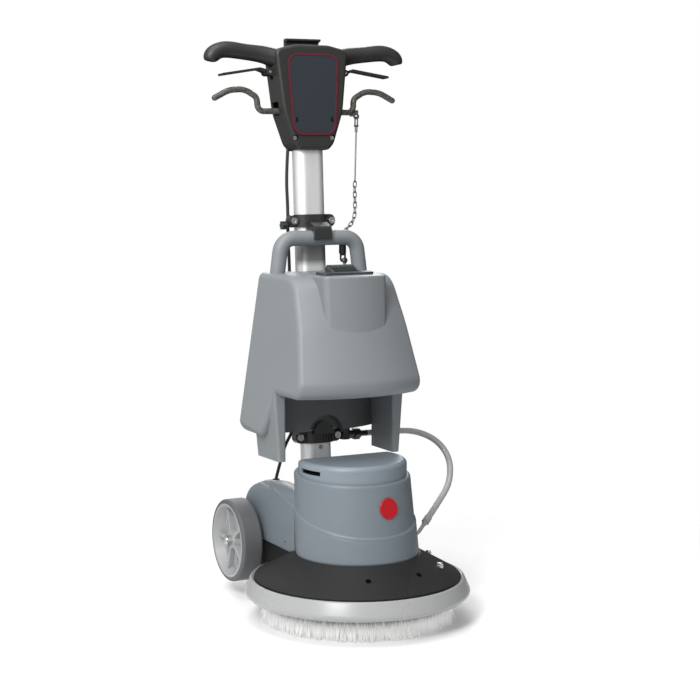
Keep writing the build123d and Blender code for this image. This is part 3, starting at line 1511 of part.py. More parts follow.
def head_inside():
    """Hollow of the head, with bosses left standing for the lever pin and the screws."""
    room = front_prism(head_outline(HEAD_WALL), (HEAD_FRONT + HEAD_WALL, HEAD_REAR - HEAD_WALL))
    room -= rod_y(LEVER_PIN_R + 4, (HEAD_FRONT, -LEVER_OFFSET - 7), (0, LEVER_W))
    room -= rod_y(LEVER_PIN_R + 4, (LEVER_OFFSET + 7, HEAD_REAR), (0, LEVER_W))
    for side in SIDES:
        room -= rod_y(9, (HEAD_FRONT, HEAD_FRONT + 14), (side * HEAD_SCREW_X, HEAD_SCREW_W))
    return room


def head_cuts():
    """Openings for the tube, the cable, the levers, their pins and the screws."""
    cuts = plan_prism(tube_outline(PRESS), (HEAD_BOTTOM - 30, TUBE_END + SEAT_GAP))
    cuts += rod_z(CABLE_R + SLIP, (HEAD_BOTTOM - 30, HEAD_BOTTOM + 30), cable_exit())
    cuts += rod_y(LEVER_PIN_R + PRESS, (HEAD_FRONT + HEAD_WALL, HEAD_REAR - HEAD_WALL), (0, LEVER_W))
    slot_half = LEVER_OFFSET + LEVER_R + 2
    slot = block((HEAD_LOW_HALF, HEAD_TOP_HALF + 5), (-slot_half, slot_half), (LEVER_W - 9, LEVER_W + 18))
    tail = block((HEAD_LOW_HALF, HEAD_TOP_HALF + 5), (-6, 6), (SWITCH_PIVOT_W - 14, SWITCH_PIVOT_W + 8))
    pin = rod_y(SWITCH_PIN_R + PRESS, (HEAD_FRONT, HEAD_REAR), (SWITCH_PIVOT_X, SWITCH_PIVOT_W))
    recess = rod_y(6.5, (HEAD_FRONT - 1, HEAD_FRONT + 9), (HEAD_SCREW_X, HEAD_SCREW_W))
    recess += rod_y(2.5 + PRESS, (HEAD_FRONT, HEAD_FRONT + 14), (HEAD_SCREW_X, HEAD_SCREW_W))
    for cut in (slot, tail, pin, recess):
        cuts += cut + mirrored(cut)
    return cuts


def cable_exit():
    return -TUBE_WIDTH / 2 - CABLE_R - 1.5, CABLE_Y


def head_shell(front):
    """Half of the head with its grips, parted at the tube's middle."""
    body = front_prism(head_outline(0), (HEAD_FRONT, HEAD_REAR))
    body = fillet(body.faces().sort_by(Axis.Y)[0].edges(), HEAD_EDGE)
    body = fillet(body.faces().sort_by(Axis.Y)[-1].edges(), HEAD_EDGE)
    body += grip() + mirrored(grip()) + switch_ears() + mirrored(switch_ears())
    body = body - head_inside() - head_cuts()
    body += cable_hook()
    keep = (-100, HEAD_SPLIT) if front else (HEAD_SPLIT, 100)
    return body & block((-300, 300), keep, (HEAD_BOTTOM - 50, HEAD_TOP + 50))


def panel_outline(grow):
    return outline(
        (PANEL_BOTTOM_HALF + grow, PANEL_BOTTOM - grow, PANEL_ROUND + grow),
        (PANEL_TOP_HALF + grow, PANEL_TOP + grow, PANEL_ROUND + grow),
        (-PANEL_TOP_HALF - grow, PANEL_TOP + grow, PANEL_ROUND + grow),
        (-PANEL_BOTTOM_HALF - grow, PANEL_BOTTOM - grow, PANEL_ROUND + grow),
    )


def control_panel():
    panel = front_prism(panel_outline(-SLIP), (HEAD_FRONT - PANEL_T, HEAD_FRONT))
    slot_w = (HEAD_SCREW_W + 32, HEAD_SCREW_W + 41)
    for side in SIDES:
        x = side * (PANEL_BOTTOM_HALF - 4)
        panel -= block((x - 2, x + 2), (HEAD_FRONT - 9, HEAD_FRONT + 9), slot_w)
    return panel


def panel_border():
    face = panel_outline(BORDER_WIDTH) - panel_outline(0)
    return front_prism(face, (HEAD_FRONT - PANEL_T - 0.6, HEAD_FRONT))


def head_screws():
    """Slotted screws at the bottom of the two recesses in the front shell."""
    screws = []
    for side in SIDES:
        at = (side * HEAD_SCREW_X, HEAD_SCREW_W)
        screw = rod_y(4.5, (HEAD_FRONT + 5.5, HEAD_FRONT + 9), at)
        screw += rod_y(2.5, (HEAD_FRONT + 9, HEAD_FRONT + 14), at)
        screws.append(screw - front_prism(Pos(*at) * Rectangle(6, 1.2), (HEAD_FRONT + 5, HEAD_FRONT + 7)))
    return screws


def column_fasteners():
    """Head screws, lower clamp bolts and the bolt through the tube into the foot."""
    clamp = [Pos(0, 0, LOWER_CLAMP_W) * bolt for bolt in clamp_bolts()]
    return Compound([*head_screws(), *clamp, foot_bolt()])


def cable_hook():
    """Lipped plate on top of the head for hanging the mains cord."""
    face = outline(
        (HEAD_REAR - 8, HEAD_TOP - 2, 0),
        (HEAD_REAR - 8, HEAD_TOP + HOOK_RISE, 3),
        (HEAD_SPLIT + 1, HEAD_TOP + HOOK_RISE, 2),
        (HEAD_SPLIT + 1, HEAD_TOP + HOOK_RISE - 5, 2),
        (HEAD_REAR - 16, HEAD_TOP + HOOK_RISE - 6, 3),
        (HEAD_REAR - 16, HEAD_TOP - 2, 0),
    )
    return side_prism(face, (-HOOK_HALF, HOOK_HALF))


def mains_gland():
    """Nut and sleeve on the rear of the head where the mains cord goes in."""
    at = (18, HEAD_LOW_W + 18)
    nut = front_prism(Pos(*at) * RegularPolygon(12, 6), (HEAD_REAR, HEAD_REAR + 8))
    sleeve = rod_y(9, (HEAD_REAR + 8, HEAD_REAR + 22), at)
    return nut + sleeve - rod_y(4.5, (HEAD_REAR + 4, HEAD_REAR + 30), at)


def microswitches():
    """Two switches on the inside of the rear shell, under the tails of the switch levers."""
    top = SWITCH_PIVOT_W - 16
    switch = block((44, 62), (-9, HEAD_REAR - HEAD_WALL), (top - 24, top - 2))
    switch += rod_z(2, (top - 2, top), (60, 0))
    return Compound([switch, mirrored(switch)])


def lever_pins():
    main = rod_y(LEVER_PIN_R, (HEAD_FRONT + HEAD_WALL, HEAD_REAR - HEAD_WALL), (0, LEVER_W))
    reach = SWITCH_WIDTH / 2 + 5
    pin = rod_y(SWITCH_PIN_R, (-reach, reach), (SWITCH_PIVOT_X, SWITCH_PIVOT_W))
    return Compound([main, pin, mirrored(pin)])


# Levers

def rod_lever(y):
    """Bent rod on the pin in the middle of the head, reaching out under the right grip."""
    knee = LEVER_KNEE_X
    points = [
        (LEVER_PIN_R + 3, LEVER_W),
        (knee, LEVER_W - 1),
        (knee + 1, LEVER_W + 27),
        (knee + 28, LEVER_W + 43),
        (knee + 62, LEVER_W + 41),
        (LEVER_TIP_X, LEVER_W + LEVER_RISE),
    ]
    path = FilletPolyline(*[(x, y, z) for x, z in points], radius=[14, 16, 40, 60])
    lever = tube_along(path, LEVER_R)
    lever += Pos(LEVER_TIP_X, y, LEVER_W + LEVER_RISE) * Sphere(LEVER_R)
    lever += rod_y(LEVER_PIN_R + 5, (y - 6, y + 6), (0, LEVER_W))
    return lever - rod_y(LEVER_PIN_R + RUN, (y - 10, y + 10), (0, LEVER_W))


def tilt_lever():
    return mirrored(rod_lever(-LEVER_OFFSET))


def dose_lever():
    """The water lever has a lug below its knee for the pull hook."""
    y = LEVER_OFFSET
    hole = (LUG_X, LEVER_W - LUG_DROP)
    lug = rod_y(6, (y - 2, y + 2), hole)
    lug += block((LEVER_KNEE_X - 8, LUG_X + 4), (y - 2, y + 2), (LEVER_W - LUG_DROP, LEVER_W + 4))
    return rod_lever(y) + lug - rod_y(LUG_HOLE_R, (y - 10, y + 10), hole)


def switch_lever():
    """Thin plate under the right grip, with a tail that works the microswitch."""
    x, z = SWITCH_PIVOT_X, SWITCH_PIVOT_W
    half = SWITCH_WIDTH / 2
    plate = outline(
        (x, z - 4, 0),
        (x + 22, z + 4, 10),
        (SWITCH_TIP_X, z - 9, 2),
        (SWITCH_TIP_X, z - 9 + SWITCH_T, 2),
        (x + 20, z + 4 + SWITCH_T, 10),
        (x, z + 4, 0),
    )
    lever = front_prism(plate, (-half, half))
    lever += rod_y(6, (-half, half), (x, z))
    tail = outline((x, z - 4, 0), (x, z + 2, 0), (x - 26, z - 6, 1), (x - 26, z - 11, 1))
    lever += front_prism(tail, (-4, 4))
    return lever - rod_y(SWITCH_PIN_R + RUN, (-2 * half, 2 * half), (x, z))


# Motor cable

def cable_route():
    """Down the left side of the tube with a slight wave, in the column's frame."""
    x, y = cable_exit()
    start, end = HEAD_BOTTOM + 8, LOWER_CLAMP_W + 46
    points = [(x, y, start)]
    for i in range(1, CABLE_POINTS):
        points.append((x - 4 - 2 * (i % 2), y, start + (end - start) * i / (CABLE_POINTS - 1)))
    return points


def tail_route():
    """Loose end that leaves the cable straight and goes into the left cheek, in the column's frame."""
    before, last = [Vector(*p) for p in cable_route()[-2:]]
    x, y = grommet_place()
    end = (COLUMN.inverse() * Location((x, y, cheek_top(y) + GROMMET_RISE + 1))).position
    return [
        last,
        last + (last - before).normalized() * 34,
        last + Vector(-19, 1, -62),
        last + Vector(-30, 1, -92),
        end,
    ]


def save(name, shape):
    shape.label = name
    export_step(shape, f"parts/{name}.step")


def main():
    os.makedirs("parts", exist_ok=True)
    hose = cord(hose_route(), HOSE_R, "hose")
    cable = cord(cable_route(), CABLE_R, "motor cable")
    tail = cord(tail_route(), CABLE_R, "cable tail")
    base = {
        "deck_plate": deck_plate(),
        "bumper_ring": bumper_ring(),
        "deck_bolts": deck_bolts(),
        "feed_pipe": feed_pipe(),
        "motor_housing": motor_housing(),
        "housing_lid": housing_lid(),
        "housing_badge": badge(),
        "cable_grommet": cable_grommet(),
        "gearbox_case": gearbox_case(),
        "bearings": bearings(),
        "motor_frame": motor_frame(),
        "motor_end_bell": motor_end_bell(),
        "stator": stator(),
        "motor_electrics": motor_electrics(),
        "axle": axle(),
        "hinge_bracket": hinge_bracket(),
        "bristle_ring": bristle_ring(),
        "brush_block": brush_block(),
        "drive_hub": drive_hub(),
        "planet_carrier": planet_carrier(),
        "rotor": rotor(),
        "tyre_right": tyre(),
        "rim_right": rim(),
        "tyre_left": mirrored(tyre()),
        "rim_left": mirrored(rim()),
        "solution_hose": hose,
    }
    for i in range(PLANETS):
        base[f"planet_gear_{i + 1}"] = planet_gear(i)
    column = {
        "handle_tube": handle_tube(),
        "column_foot": column_foot(),
        "column_fasteners": column_fasteners(),
        "lock_rod": lock_rod(),
        "lower_clamp_front": lower_clamp_front(),
        "lower_clamp_rear": lower_clamp_rear(),
        "upper_clamp_front": upper_clamp_front(),
        "upper_clamp_rear": upper_clamp_rear(),
        "upper_clamp_bolts": Pos(0, 0, UPPER_CLAMP_W) * Compound(clamp_bolts()),
        "clamp_knob": clamp_knob(),
        "motor_cable": cable,
        "cable_tail": tail,
        "head_front_shell": head_shell(True),
        "head_rear_shell": head_shell(False),
        "control_panel": control_panel(),
        "panel_border": panel_border(),
        "mains_gland": mains_gland(),
        "microswitches": microswitches(),
        "lever_pins": lever_pins(),
        "tilt_lever": tilt_lever(),
        "dose_lever": dose_lever(),
        "switch_lever_right": switch_lever(),
        "switch_lever_left": mirrored(switch_lever()),
    }
    level = {
        "tank": tank(),
        "filler_lid": filler_lid(),
        "lid_hinge_block": lid_hinge_block(),
        "outlet_valve": outlet_valve(),
        "valve_rod": valve_rod(),
        "pull_wire": pull_wire(),
        "pull_chain": pull_chain(),
        "snap_clip": snap_clip(),
    }
    for name, shape in base.items():
        save(name, shape)
    for name, shape in column.items():
        save(name, COLUMN * shape)
    for name, shape in level.items():
        save(name, TANK * shape)


main()
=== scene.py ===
# %% [markdown]
# # A single-disc floor machine
# The machine stands on a round brush. A motor housing sits on a black deck, a tilting column
# carries a solution tank, and a head with two grips is on top.
# All solid parts come from the imported CAD model. This script gives them their finishes. It also
# makes the pieces that a CAD solid can't show well: a hose, a cable, bristles and a wire chain, and
# some trim, which is the bumper's section, two axle plates, black discs of painted shade in holes,
# a moulded ridge and a sleeve.

# %% Load the frame
import json
import math

import bmesh
import bpy
import numpy as np
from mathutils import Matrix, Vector


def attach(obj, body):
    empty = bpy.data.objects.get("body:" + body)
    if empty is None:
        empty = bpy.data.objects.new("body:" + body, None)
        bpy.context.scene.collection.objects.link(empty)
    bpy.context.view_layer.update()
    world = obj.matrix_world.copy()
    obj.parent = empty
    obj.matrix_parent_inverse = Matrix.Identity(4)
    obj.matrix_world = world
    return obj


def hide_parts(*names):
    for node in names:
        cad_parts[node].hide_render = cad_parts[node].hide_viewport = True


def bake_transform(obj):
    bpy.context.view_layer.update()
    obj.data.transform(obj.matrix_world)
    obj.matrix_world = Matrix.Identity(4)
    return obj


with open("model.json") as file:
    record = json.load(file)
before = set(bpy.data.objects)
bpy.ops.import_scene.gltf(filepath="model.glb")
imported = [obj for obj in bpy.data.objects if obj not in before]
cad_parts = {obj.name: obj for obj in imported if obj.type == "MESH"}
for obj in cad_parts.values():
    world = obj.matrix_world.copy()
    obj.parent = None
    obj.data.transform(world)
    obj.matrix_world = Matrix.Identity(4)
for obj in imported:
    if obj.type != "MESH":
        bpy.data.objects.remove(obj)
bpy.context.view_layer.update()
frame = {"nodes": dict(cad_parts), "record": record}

nodes = frame["nodes"]
scene = bpy.context.scene

# %% [markdown]
# ## Camera
# The viewpoint was found by fitting lines of the photograph: a long lens, a little to the left
# of the machine's front and a little above its middle. A camera in Blender looks along its own
# -Z axis, so it is turned with to_track_quat. A lamp is aimed in the same way.

# %% Camera
CAMERA_PLACE = Vector((-1.5586, -3.0133, 0.9391))
CAMERA_TURN = math.radians(27.10)
CAMERA_PITCH = math.radians(6.75)
CAMERA_LENS_MM = 89.29
SENSOR_WIDTH_MM = 36
VIEW_END = 60


def add(name, data):
    """A new object in the scene, at the origin."""
    thing = bpy.data.objects.new(name, data)
    scene.collection.objects.link(thing)
    return thing


def aim(thing, way):
    """Turns a camera or a lamp to look along a direction."""
    thing.rotation_mode = "QUATERNION"
    thing.rotation_quaternion = way.to_track_quat("-Z", "Y")


lens = bpy.data.cameras.new("camera")
lens.lens = CAMERA_LENS_MM
lens.sensor_width = SENSOR_WIDTH_MM
lens.clip_end = VIEW_END
look = Vector((
    math.sin(CAMERA_TURN) * math.cos(CAMERA_PITCH),
    math.cos(CAMERA_TURN) * math.cos(CAMERA_PITCH),
    -math.sin(CAMERA_PITCH),
))
camera = add("camera", lens)
camera.location = CAMERA_PLACE
aim(camera, look)
scene.camera = camera
print("camera looks along", [round(c, 3) for c in look])

# %% [markdown]
# ## Node trees as sums
# Shaders and Geometry Nodes are graphs. Written link by link they are hard to read, so one small
# class wraps a socket. Sums on it add Math nodes, and its node method adds any other node.

# %% The class for sockets
class Wire:
    """A socket in a node tree, or the tree itself where the socket is None."""

    def __init__(self, tree, socket=None):
        self.tree = tree
        self.socket = socket

    def node(self, kind, settings=None, sockets=None, out=0):
        """Adds a node, sets it up, fills its sockets and returns one of its outputs."""
        new = self.tree.nodes.new(kind)
        for name, value in (settings or {}).items():
            setattr(new, name, value)
        for name, value in (sockets or {}).items():
            if isinstance(value, Wire):
                self.tree.links.new(value.socket, new.inputs[name])
            else:
                new.inputs[name].default_value = value
        return Wire(self.tree, new.outputs[out])

    def vector(self, x, y, z):
        """Three values as one vector."""
        return self.node("ShaderNodeCombineXYZ", {}, {"X": x, "Y": y, "Z": z})

    def axes(self):
        """The x, y and z of a vector, one by one."""
        split = self.node("ShaderNodeSeparateXYZ", {}, {0: self}).socket.node
        return [Wire(self.tree, socket) for socket in split.outputs]

    def sum(self, operation, first, second=0.0):
        """A Math node on one or two values."""
        return self.node("ShaderNodeMath", {"operation": operation}, {0: first, 1: second})

    def __abs__(self):
        return self.sum("ABSOLUTE", self)

    def __add__(self, other):
        return self.sum("ADD", self, other)

    def __radd__(self, other):
        return self.sum("ADD", other, self)

    def __sub__(self, other):
        return self.sum("SUBTRACT", self, other)

    def __rsub__(self, other):
        return self.sum("SUBTRACT", other, self)

    def __mul__(self, other):
        return self.sum("MULTIPLY", self, other)

    def __rmul__(self, other):
        return self.sum("MULTIPLY", other, self)

    def __truediv__(self, other):
        return self.sum("DIVIDE", self, other)

    def __lt__(self, other):
        return self.sum("LESS_THAN", self, other)

    def __gt__(self, other):
        return self.sum("GREATER_THAN", self, other)


print("sums on sockets: abs + - * / < >")

# %% [markdown]
# ## Finishes
# No real surface is one flat colour. A moulded part has a fine grain from its mould and slight
# clouds in its colour, paint has an orange-peel skin, and drawn metal has lines along the tube.
# Plastic and paint use two noises below: a large one for colour and gloss, and a small one for
# bump. Metal uses one for all three. A Bevel node lets sharp edges catch the light as if they were
# slightly rounded.

# %% A finish and its tools
# A Mix node has sockets for every kind of data. These are the numbers of those for colours.
MIX_FACTOR, MIX_FIRST, MIX_SECOND, MIX_RESULT = 0, 6, 7, 2

WHITE = (1, 1, 1, 1)
BLACK = (0, 0, 0, 1)
EDGE_R = 0.0008
EDGE_SAMPLES = 4


def srgb(red, green, blue):
    """A colour as seen on screen, 0 to 255, as the linear colour that a shader takes."""
    linear = []
    for c in (red, green, blue):
        c /= 255
        linear.append(c / 12.92 if c <= 0.04045 else ((c + 0.055) / 1.055) ** 2.4)
    return (*linear, 1)


def shade(colour, factor):
    """A colour made darker or paler."""
    return (*[min(1, c * factor) for c in colour[:3]], 1)


class Finish:
    """A material with its object coordinates and its shader at hand."""

    def __init__(self, name, **constants):
        self.material = bpy.data.materials.new(name)
        self.material.use_nodes = True
        tree = self.material.node_tree
        self.wire = Wire(tree)
        self.shader = tree.nodes["Principled BSDF"]
        self.place = self.wire.node("ShaderNodeTexCoord", out="Object")
        for socket, value in constants.items():
            self.feed(socket.replace("_", " "), value)

    def feed(self, socket, value):
        """Links a wire to the shader, or sets a constant on its own socket."""
        if isinstance(value, Wire):
            self.wire.tree.links.new(value.socket, self.shader.inputs[socket])
        else:
            self.shader.inputs[socket].default_value = value

    def noise(self, scale, detail=3, stretch=None):
        """Noise from 0 to 1, finer for a larger scale, and drawn out along an axis by a stretch."""
        place = self.place
        if stretch:
            place = self.wire.node("ShaderNodeMapping", {}, {"Vector": place, "Scale": stretch})
        sockets = {"Vector": place, "Scale": scale, "Detail": detail}
        return self.wire.node("ShaderNodeTexNoise", {}, sockets)

    def ramp(self, value, start, end, kind="LINEAR"):
        """0 to 1 while a value goes from start to end, and level beyond them."""
        sockets = {"Value": value, "From Min": start, "From Max": end}
        return self.wire.node("ShaderNodeMapRange", {"interpolation_type": kind}, sockets)

    def mix(self, first, second, factor):
        """A colour between two."""
        sockets = {MIX_FACTOR: factor, MIX_FIRST: first, MIX_SECOND: second}
        return self.wire.node("ShaderNodeMix", {"data_type": "RGBA"}, sockets, out=MIX_RESULT)

    def tint(self, colour, noise, low, high):
        """A colour that noise takes from darker to paler."""
        self.feed("Base Color", self.mix(shade(colour, low), shade(colour, high), noise))

    def over(self, colour, mask):
        """Another colour where a mask is 1."""
        plain = Wire(self.wire.tree, self.shader.inputs["Base Color"].links[0].from_socket)
        self.feed("Base Color", self.mix(plain, colour, mask))

    def gloss(self, rough, noise, swing):
        """A roughness that noise moves up and down."""
        self.feed("Roughness", rough - swing / 2 + noise * swing)

    def bump(self, height, depth, edge=EDGE_R):
        """Height as bumps, on a surface whose sharp edges look slightly rounded."""
        soft = self.wire.node("ShaderNodeBevel", {"samples": EDGE_SAMPLES}, {"Radius": edge})
        sockets = {"Height": height, "Distance": depth, "Normal": soft}
        self.feed("Normal", self.wire.node("ShaderNodeBump", {}, sockets))


print("grey 128 on screen is", round(srgb(128, 128, 128)[0], 3), "in the shader")

# %% Makers of finishes
def moulded(name, colour, rough, grain=900, depth=0.00025, cloud=0.05, edge=EDGE_R, **constants):
    """Plastic from a mould: fine grain, faint clouds in its colour and its gloss."""
    made = Finish(name, **constants)
    clouds = made.noise(scale=7)
    made.tint(colour, clouds, low=1 - cloud, high=1 + cloud)
    made.gloss(rough, clouds, swing=0.12)
    made.bump(made.noise(grain, detail=2), depth, edge)
    return made


def painted(name, colour, rough, **constants):
    """Sprayed paint: an orange-peel skin and a little dust in its gloss."""
    made = Finish(name, **constants)
    dust = made.noise(scale=40, detail=5)
    made.tint(colour, dust, low=0.9, high=1.15)
    made.gloss(rough, dust, swing=0.16)
    made.bump(made.noise(scale=320, detail=2), depth=0.0004)
    return made


def brushed(name, colour, rough, stretch, metal=1.0, **constants):
    """Drawn or machined metal with fine lines along one axis."""
    made = Finish(name, Metallic=metal, **constants)
    lines = made.noise(scale=60, detail=4, stretch=stretch)
    made.tint(colour, lines, low=0.9, high=1.08)
    made.gloss(rough, lines, swing=0.16)
    made.bump(lines, depth=0.0001)
    return made


def cast(name, colour, rough=0.575, **constants):
    """Sand-cast metal with a pebbled skin."""
    made = Finish(name, Metallic=1.0, **constants)
    pebbles = made.noise(scale=420, detail=4)
    made.tint(colour, pebbles, low=0.8, high=1.1)
    made.gloss(rough, pebbles, swing=0.15)
    made.bump(pebbles, depth=0.0006)
    return made


print("makers: moulded, painted, brushed, cast")

# %% [markdown]
# ### Finishes with places of their own
# Some parts don't look the same all over. The tank has a painted shade in the recess between its
# legs, the two slots in the panel have a black painted shade, the levers have a hammered coat, the
# bristles have a painted shade at their roots and a painted glow elsewhere, and the tube has a
# painted shade behind the carry arch. Object coordinates say where: a comparison of them is a mask,
# and a mask mixes another colour over the first.

# %% Tank, head and panel
TANK_GREY = srgb(126, 131, 134)
RECESS_HALF = 0.1197
RECESS_TOP = 0.4447
RECESS_FRONT, RECESS_BACK = 0.06, 0.178
RECESS_SHADE = 0.48

SLOT_X = 0.0395
SLOT_Z = 0.98935
# Black painted shade for the two slots, which lie deep in shade.
SLOT_SHADE_BLACK = srgb(2, 2, 2)
SLOT_FLOOR_HALF = (0.003, 0.006)
SLOT_EDGE_HALF = (0.0027, 0.0052)
HEAD_FRONT_Y = 0.2


def tank_finish():
    """Moulded grey with a painted shade, a darker copy of the grey, in the recess between the legs.
    """
    made = moulded("tank_plastic", TANK_GREY, 0.46)
    x, y, z = made.place.axes()
    # The recess gets a painted shade: the tank's grey made darker where the legs shade it.
    shaded_recess = (abs(x) < RECESS_HALF) * (z < RECESS_TOP) * (y > RECESS_FRONT) * (y < RECESS_BACK)
    made.over(shade(TANK_GREY, RECESS_SHADE), shaded_recess)
    return made


def slot_shade_mask(made, half):
    """1 in a box round each of the two slots at the foot of the panel, where black painted shade
    goes.
    """
    x, _, z = made.place.axes()
    return (abs(abs(x) - SLOT_X) < half[0]) * (abs(z - SLOT_Z) < half[1])


def head_finish():
    """Charcoal plastic with a black painted shade at the bottom of the two slots in the panel."""
    made = moulded("head_plastic", srgb(40, 40, 39), 0.42, grain=1200)
    front = made.place.axes()[1] < HEAD_FRONT_Y
    made.over(SLOT_SHADE_BLACK, slot_shade_mask(made, SLOT_FLOOR_HALF) * front)
    return made


def panel_finish():
    """Dark blue foil with a black painted shade on its edges round the slots."""
    made = moulded("panel", srgb(38, 45, 52), 0.45, grain=2000, depth=0.0001)
    made.over(SLOT_SHADE_BLACK, slot_shade_mask(made, SLOT_EDGE_HALF))
    return made


print("slots at x", SLOT_X, "and", -SLOT_X)

# %% Levers, bristles and tube
SPECK_CONTRAST, SPECK_DROP = 2.4, 0.75

ALONG_STRANDS = (1, 1, 0.03)
STREAK_CONTRAST, STREAK_DROP = 2.2, 0.95
ROOT_SHADE_Z = (0.021, 0.047)

ALONG_COLUMN = (1, 1, 0.02)
ARCH_SHADE_GREY = srgb(140, 140, 140)
ARCH_SHADE_RISE_Z = (0.690, 0.704)
ARCH_SHADE_FALL_Z = (0.762, 0.752)
ARCH_SHADE_FRONT_Y = (0.222, 0.203)


def lever_finish():
    """Hammered dark paint: pale specks on dark steel, with a dimpled skin."""
    made = Finish("lever_steel", Metallic=0.3)
    specks = made.noise(scale=420, detail=2)
    pale = specks * SPECK_CONTRAST - SPECK_DROP
    made.feed("Base Color", made.mix(srgb(24, 24, 23), srgb(128, 126, 120), pale))
    made.gloss(0.35, specks, swing=0.2)
    made.bump(specks, depth=0.0008)
    return made


def bristle_finish():
    """White nylon with a painted glow, and a painted shade from the bumper near its roots."""
    # The emission is a painted glow: the strands give off light though they are no lamp.
    made = moulded(
        "bristles", srgb(253, 253, 252), 0.5, grain=2500, depth=0.00005, cloud=0.02,
        Emission_Strength=0.18,
    )
    root_shade = made.ramp(made.place.axes()[2], *ROOT_SHADE_Z, "SMOOTHSTEP")
    streaks = made.noise(scale=300, detail=2, stretch=ALONG_STRANDS)
    made.over(srgb(168, 168, 167), streaks * STREAK_CONTRAST - STREAK_DROP)
    # Painted shade: the roots under the bumper are grey, and the painted glow stops there.
    made.over(srgb(70, 70, 69), root_shade)
    made.feed("Emission Color", made.mix(WHITE, BLACK, root_shade))
    return made


def tube_finish():
    """Drawn aluminium with a painted shade in front, where it stands close behind the tank's carry
    arch.
    """
    made = brushed("tube_aluminium", srgb(250, 250, 251), 0.45, ALONG_COLUMN, metal=0.7)
    _, y, z = made.place.axes()
    arch_shade = made.ramp(z, *ARCH_SHADE_RISE_Z) * made.ramp(z, *ARCH_SHADE_FALL_Z)
    made.over(ARCH_SHADE_GREY, arch_shade * made.ramp(y, *ARCH_SHADE_FRONT_Y))
    return made


# The painted shade on the tube runs between these heights.
print("tube is dull from", ARCH_SHADE_RISE_Z[0], "to", ARCH_SHADE_FALL_Z[0], "m")

# %% [markdown]
# ### One finish for each slot of the record
# The record says which material slot each CAD node has, so the table below is read slot by slot.
# The greys of tank and housing look alike at first, but the housing is a little bluer and glossier.
# A few nodes share a slot with others and still look different, so a second table comes after it.

# %% Finishes by slot
EVEN = (1, 1, 1)
HOUSING_GREY = srgb(111, 120, 127)

finishes = {
    "tank_plastic": tank_finish(),
    "housing_plastic": moulded("housing_plastic", HOUSING_GREY, 0.38, edge=0.007),
    "lid_plastic": moulded("lid_plastic", srgb(62, 65, 67), 0.5),
    "badge_red": moulded("badge_red", srgb(178, 6, 22), 0.3, depth=0.00005, Coat_Weight=0.4),
    "head_plastic": head_finish(),
    "panel": panel_finish(),
    "border_red": moulded("border_red", srgb(88, 20, 38), 0.45, grain=1500),
    "black_plastic": moulded("black_plastic", srgb(40, 41, 41), 0.3, Coat_Weight=0.3),
    "deck_paint": painted("deck_paint", srgb(30, 30, 31), 0.55, Specular_IOR_Level=0.3),
    "bumper_grey": moulded(
        "bumper_grey", srgb(158, 159, 159), 0.28, grain=500, depth=0.0001, cloud=0.03,
    ),
    "tube_aluminium": tube_finish(),
    "cast_aluminium": cast("cast_aluminium", srgb(190, 191, 193)),
    "zinc_steel": brushed("zinc_steel", srgb(200, 200, 198), 0.3, EVEN),
    "lever_steel": lever_finish(),
    "gear_steel": brushed("gear_steel", srgb(165, 165, 168), 0.3, EVEN),
    "hub_casting": cast("hub_casting", srgb(175, 175, 175)),
    "brush_block_plastic": moulded("brush_block_plastic", srgb(225, 225, 220), 0.5),
    "bristles": bristle_finish(),
    "tyre_rubber": moulded("tyre_rubber", srgb(88, 89, 91), 0.6, grain=600, depth=0.0004),
    "rim_plastic": moulded("rim_plastic", srgb(156, 157, 158), 0.42),
    "cable_rubber": moulded("cable_rubber", srgb(26, 26, 27), 0.55),
    "hose_pvc": moulded("hose_pvc", srgb(164, 166, 166), 0.3, Coat_Weight=0.5),
}
wire_steel = brushed("wire_steel", srgb(128, 129, 130), 0.42, EVEN)
# The lid's grey is a paler copy of the housing's: partly the lid's own paler plastic, partly
# painted light on its shaded top.
lid_pale_and_lit = moulded("lid_pale_and_lit", shade(HOUSING_GREY, 1.3), 0.36)
switch_paint = painted("switch_paint", srgb(36, 36, 36), 0.35)
node_finishes = {
    "pull_wire": wire_steel,
    "valve_rod": wire_steel,
    "housing_lid": lid_pale_and_lit,
    "switch_lever_left": switch_paint,
    "switch_lever_right": switch_paint,
}

for row in frame["record"]["subparts"]:
    finish = node_finishes.get(row["node"], finishes[row["material_slot"]])
    mesh = nodes[row["node"]].data
    mesh.materials.clear()
    mesh.materials.append(finish.material)
print("slots", len(finishes), "nodes with a finish of their own", len(node_finishes))

# %% [markdown]
# ## Tools for new pieces
# Repeated shapes are grown by Geometry Nodes. A piece starts as a mesh of points or of a line, a
# tree with named sizes turns it into the full shape, and the result is kept as a plain mesh.

# %% Seeds and trees
FILLET_STEPS = 6
TUBE_SIDES = 20


def line_mesh(name, points, closed=False):
    """Points joined by edges, as a mesh without faces."""
    count = len(points)
    edges = [(i, (i + 1) % count) for i in range(count if closed else count - 1)]
    mesh = bpy.data.meshes.new(name)
    mesh.from_pydata(points, edges, [])
    return mesh


def point_mesh(name, places, **attributes):
    """Loose points, each with its own values or vectors for a tree to read."""
    mesh = bpy.data.meshes.new(name)
    mesh.from_pydata(places, [], [])
    for attribute, values in attributes.items():
        kind, field = ("FLOAT", "value") if np.ndim(values) == 1 else ("FLOAT_VECTOR", "vector")
        mesh.attributes.new(attribute, kind, "POINT").data.foreach_set(field, np.ravel(values))
    return mesh


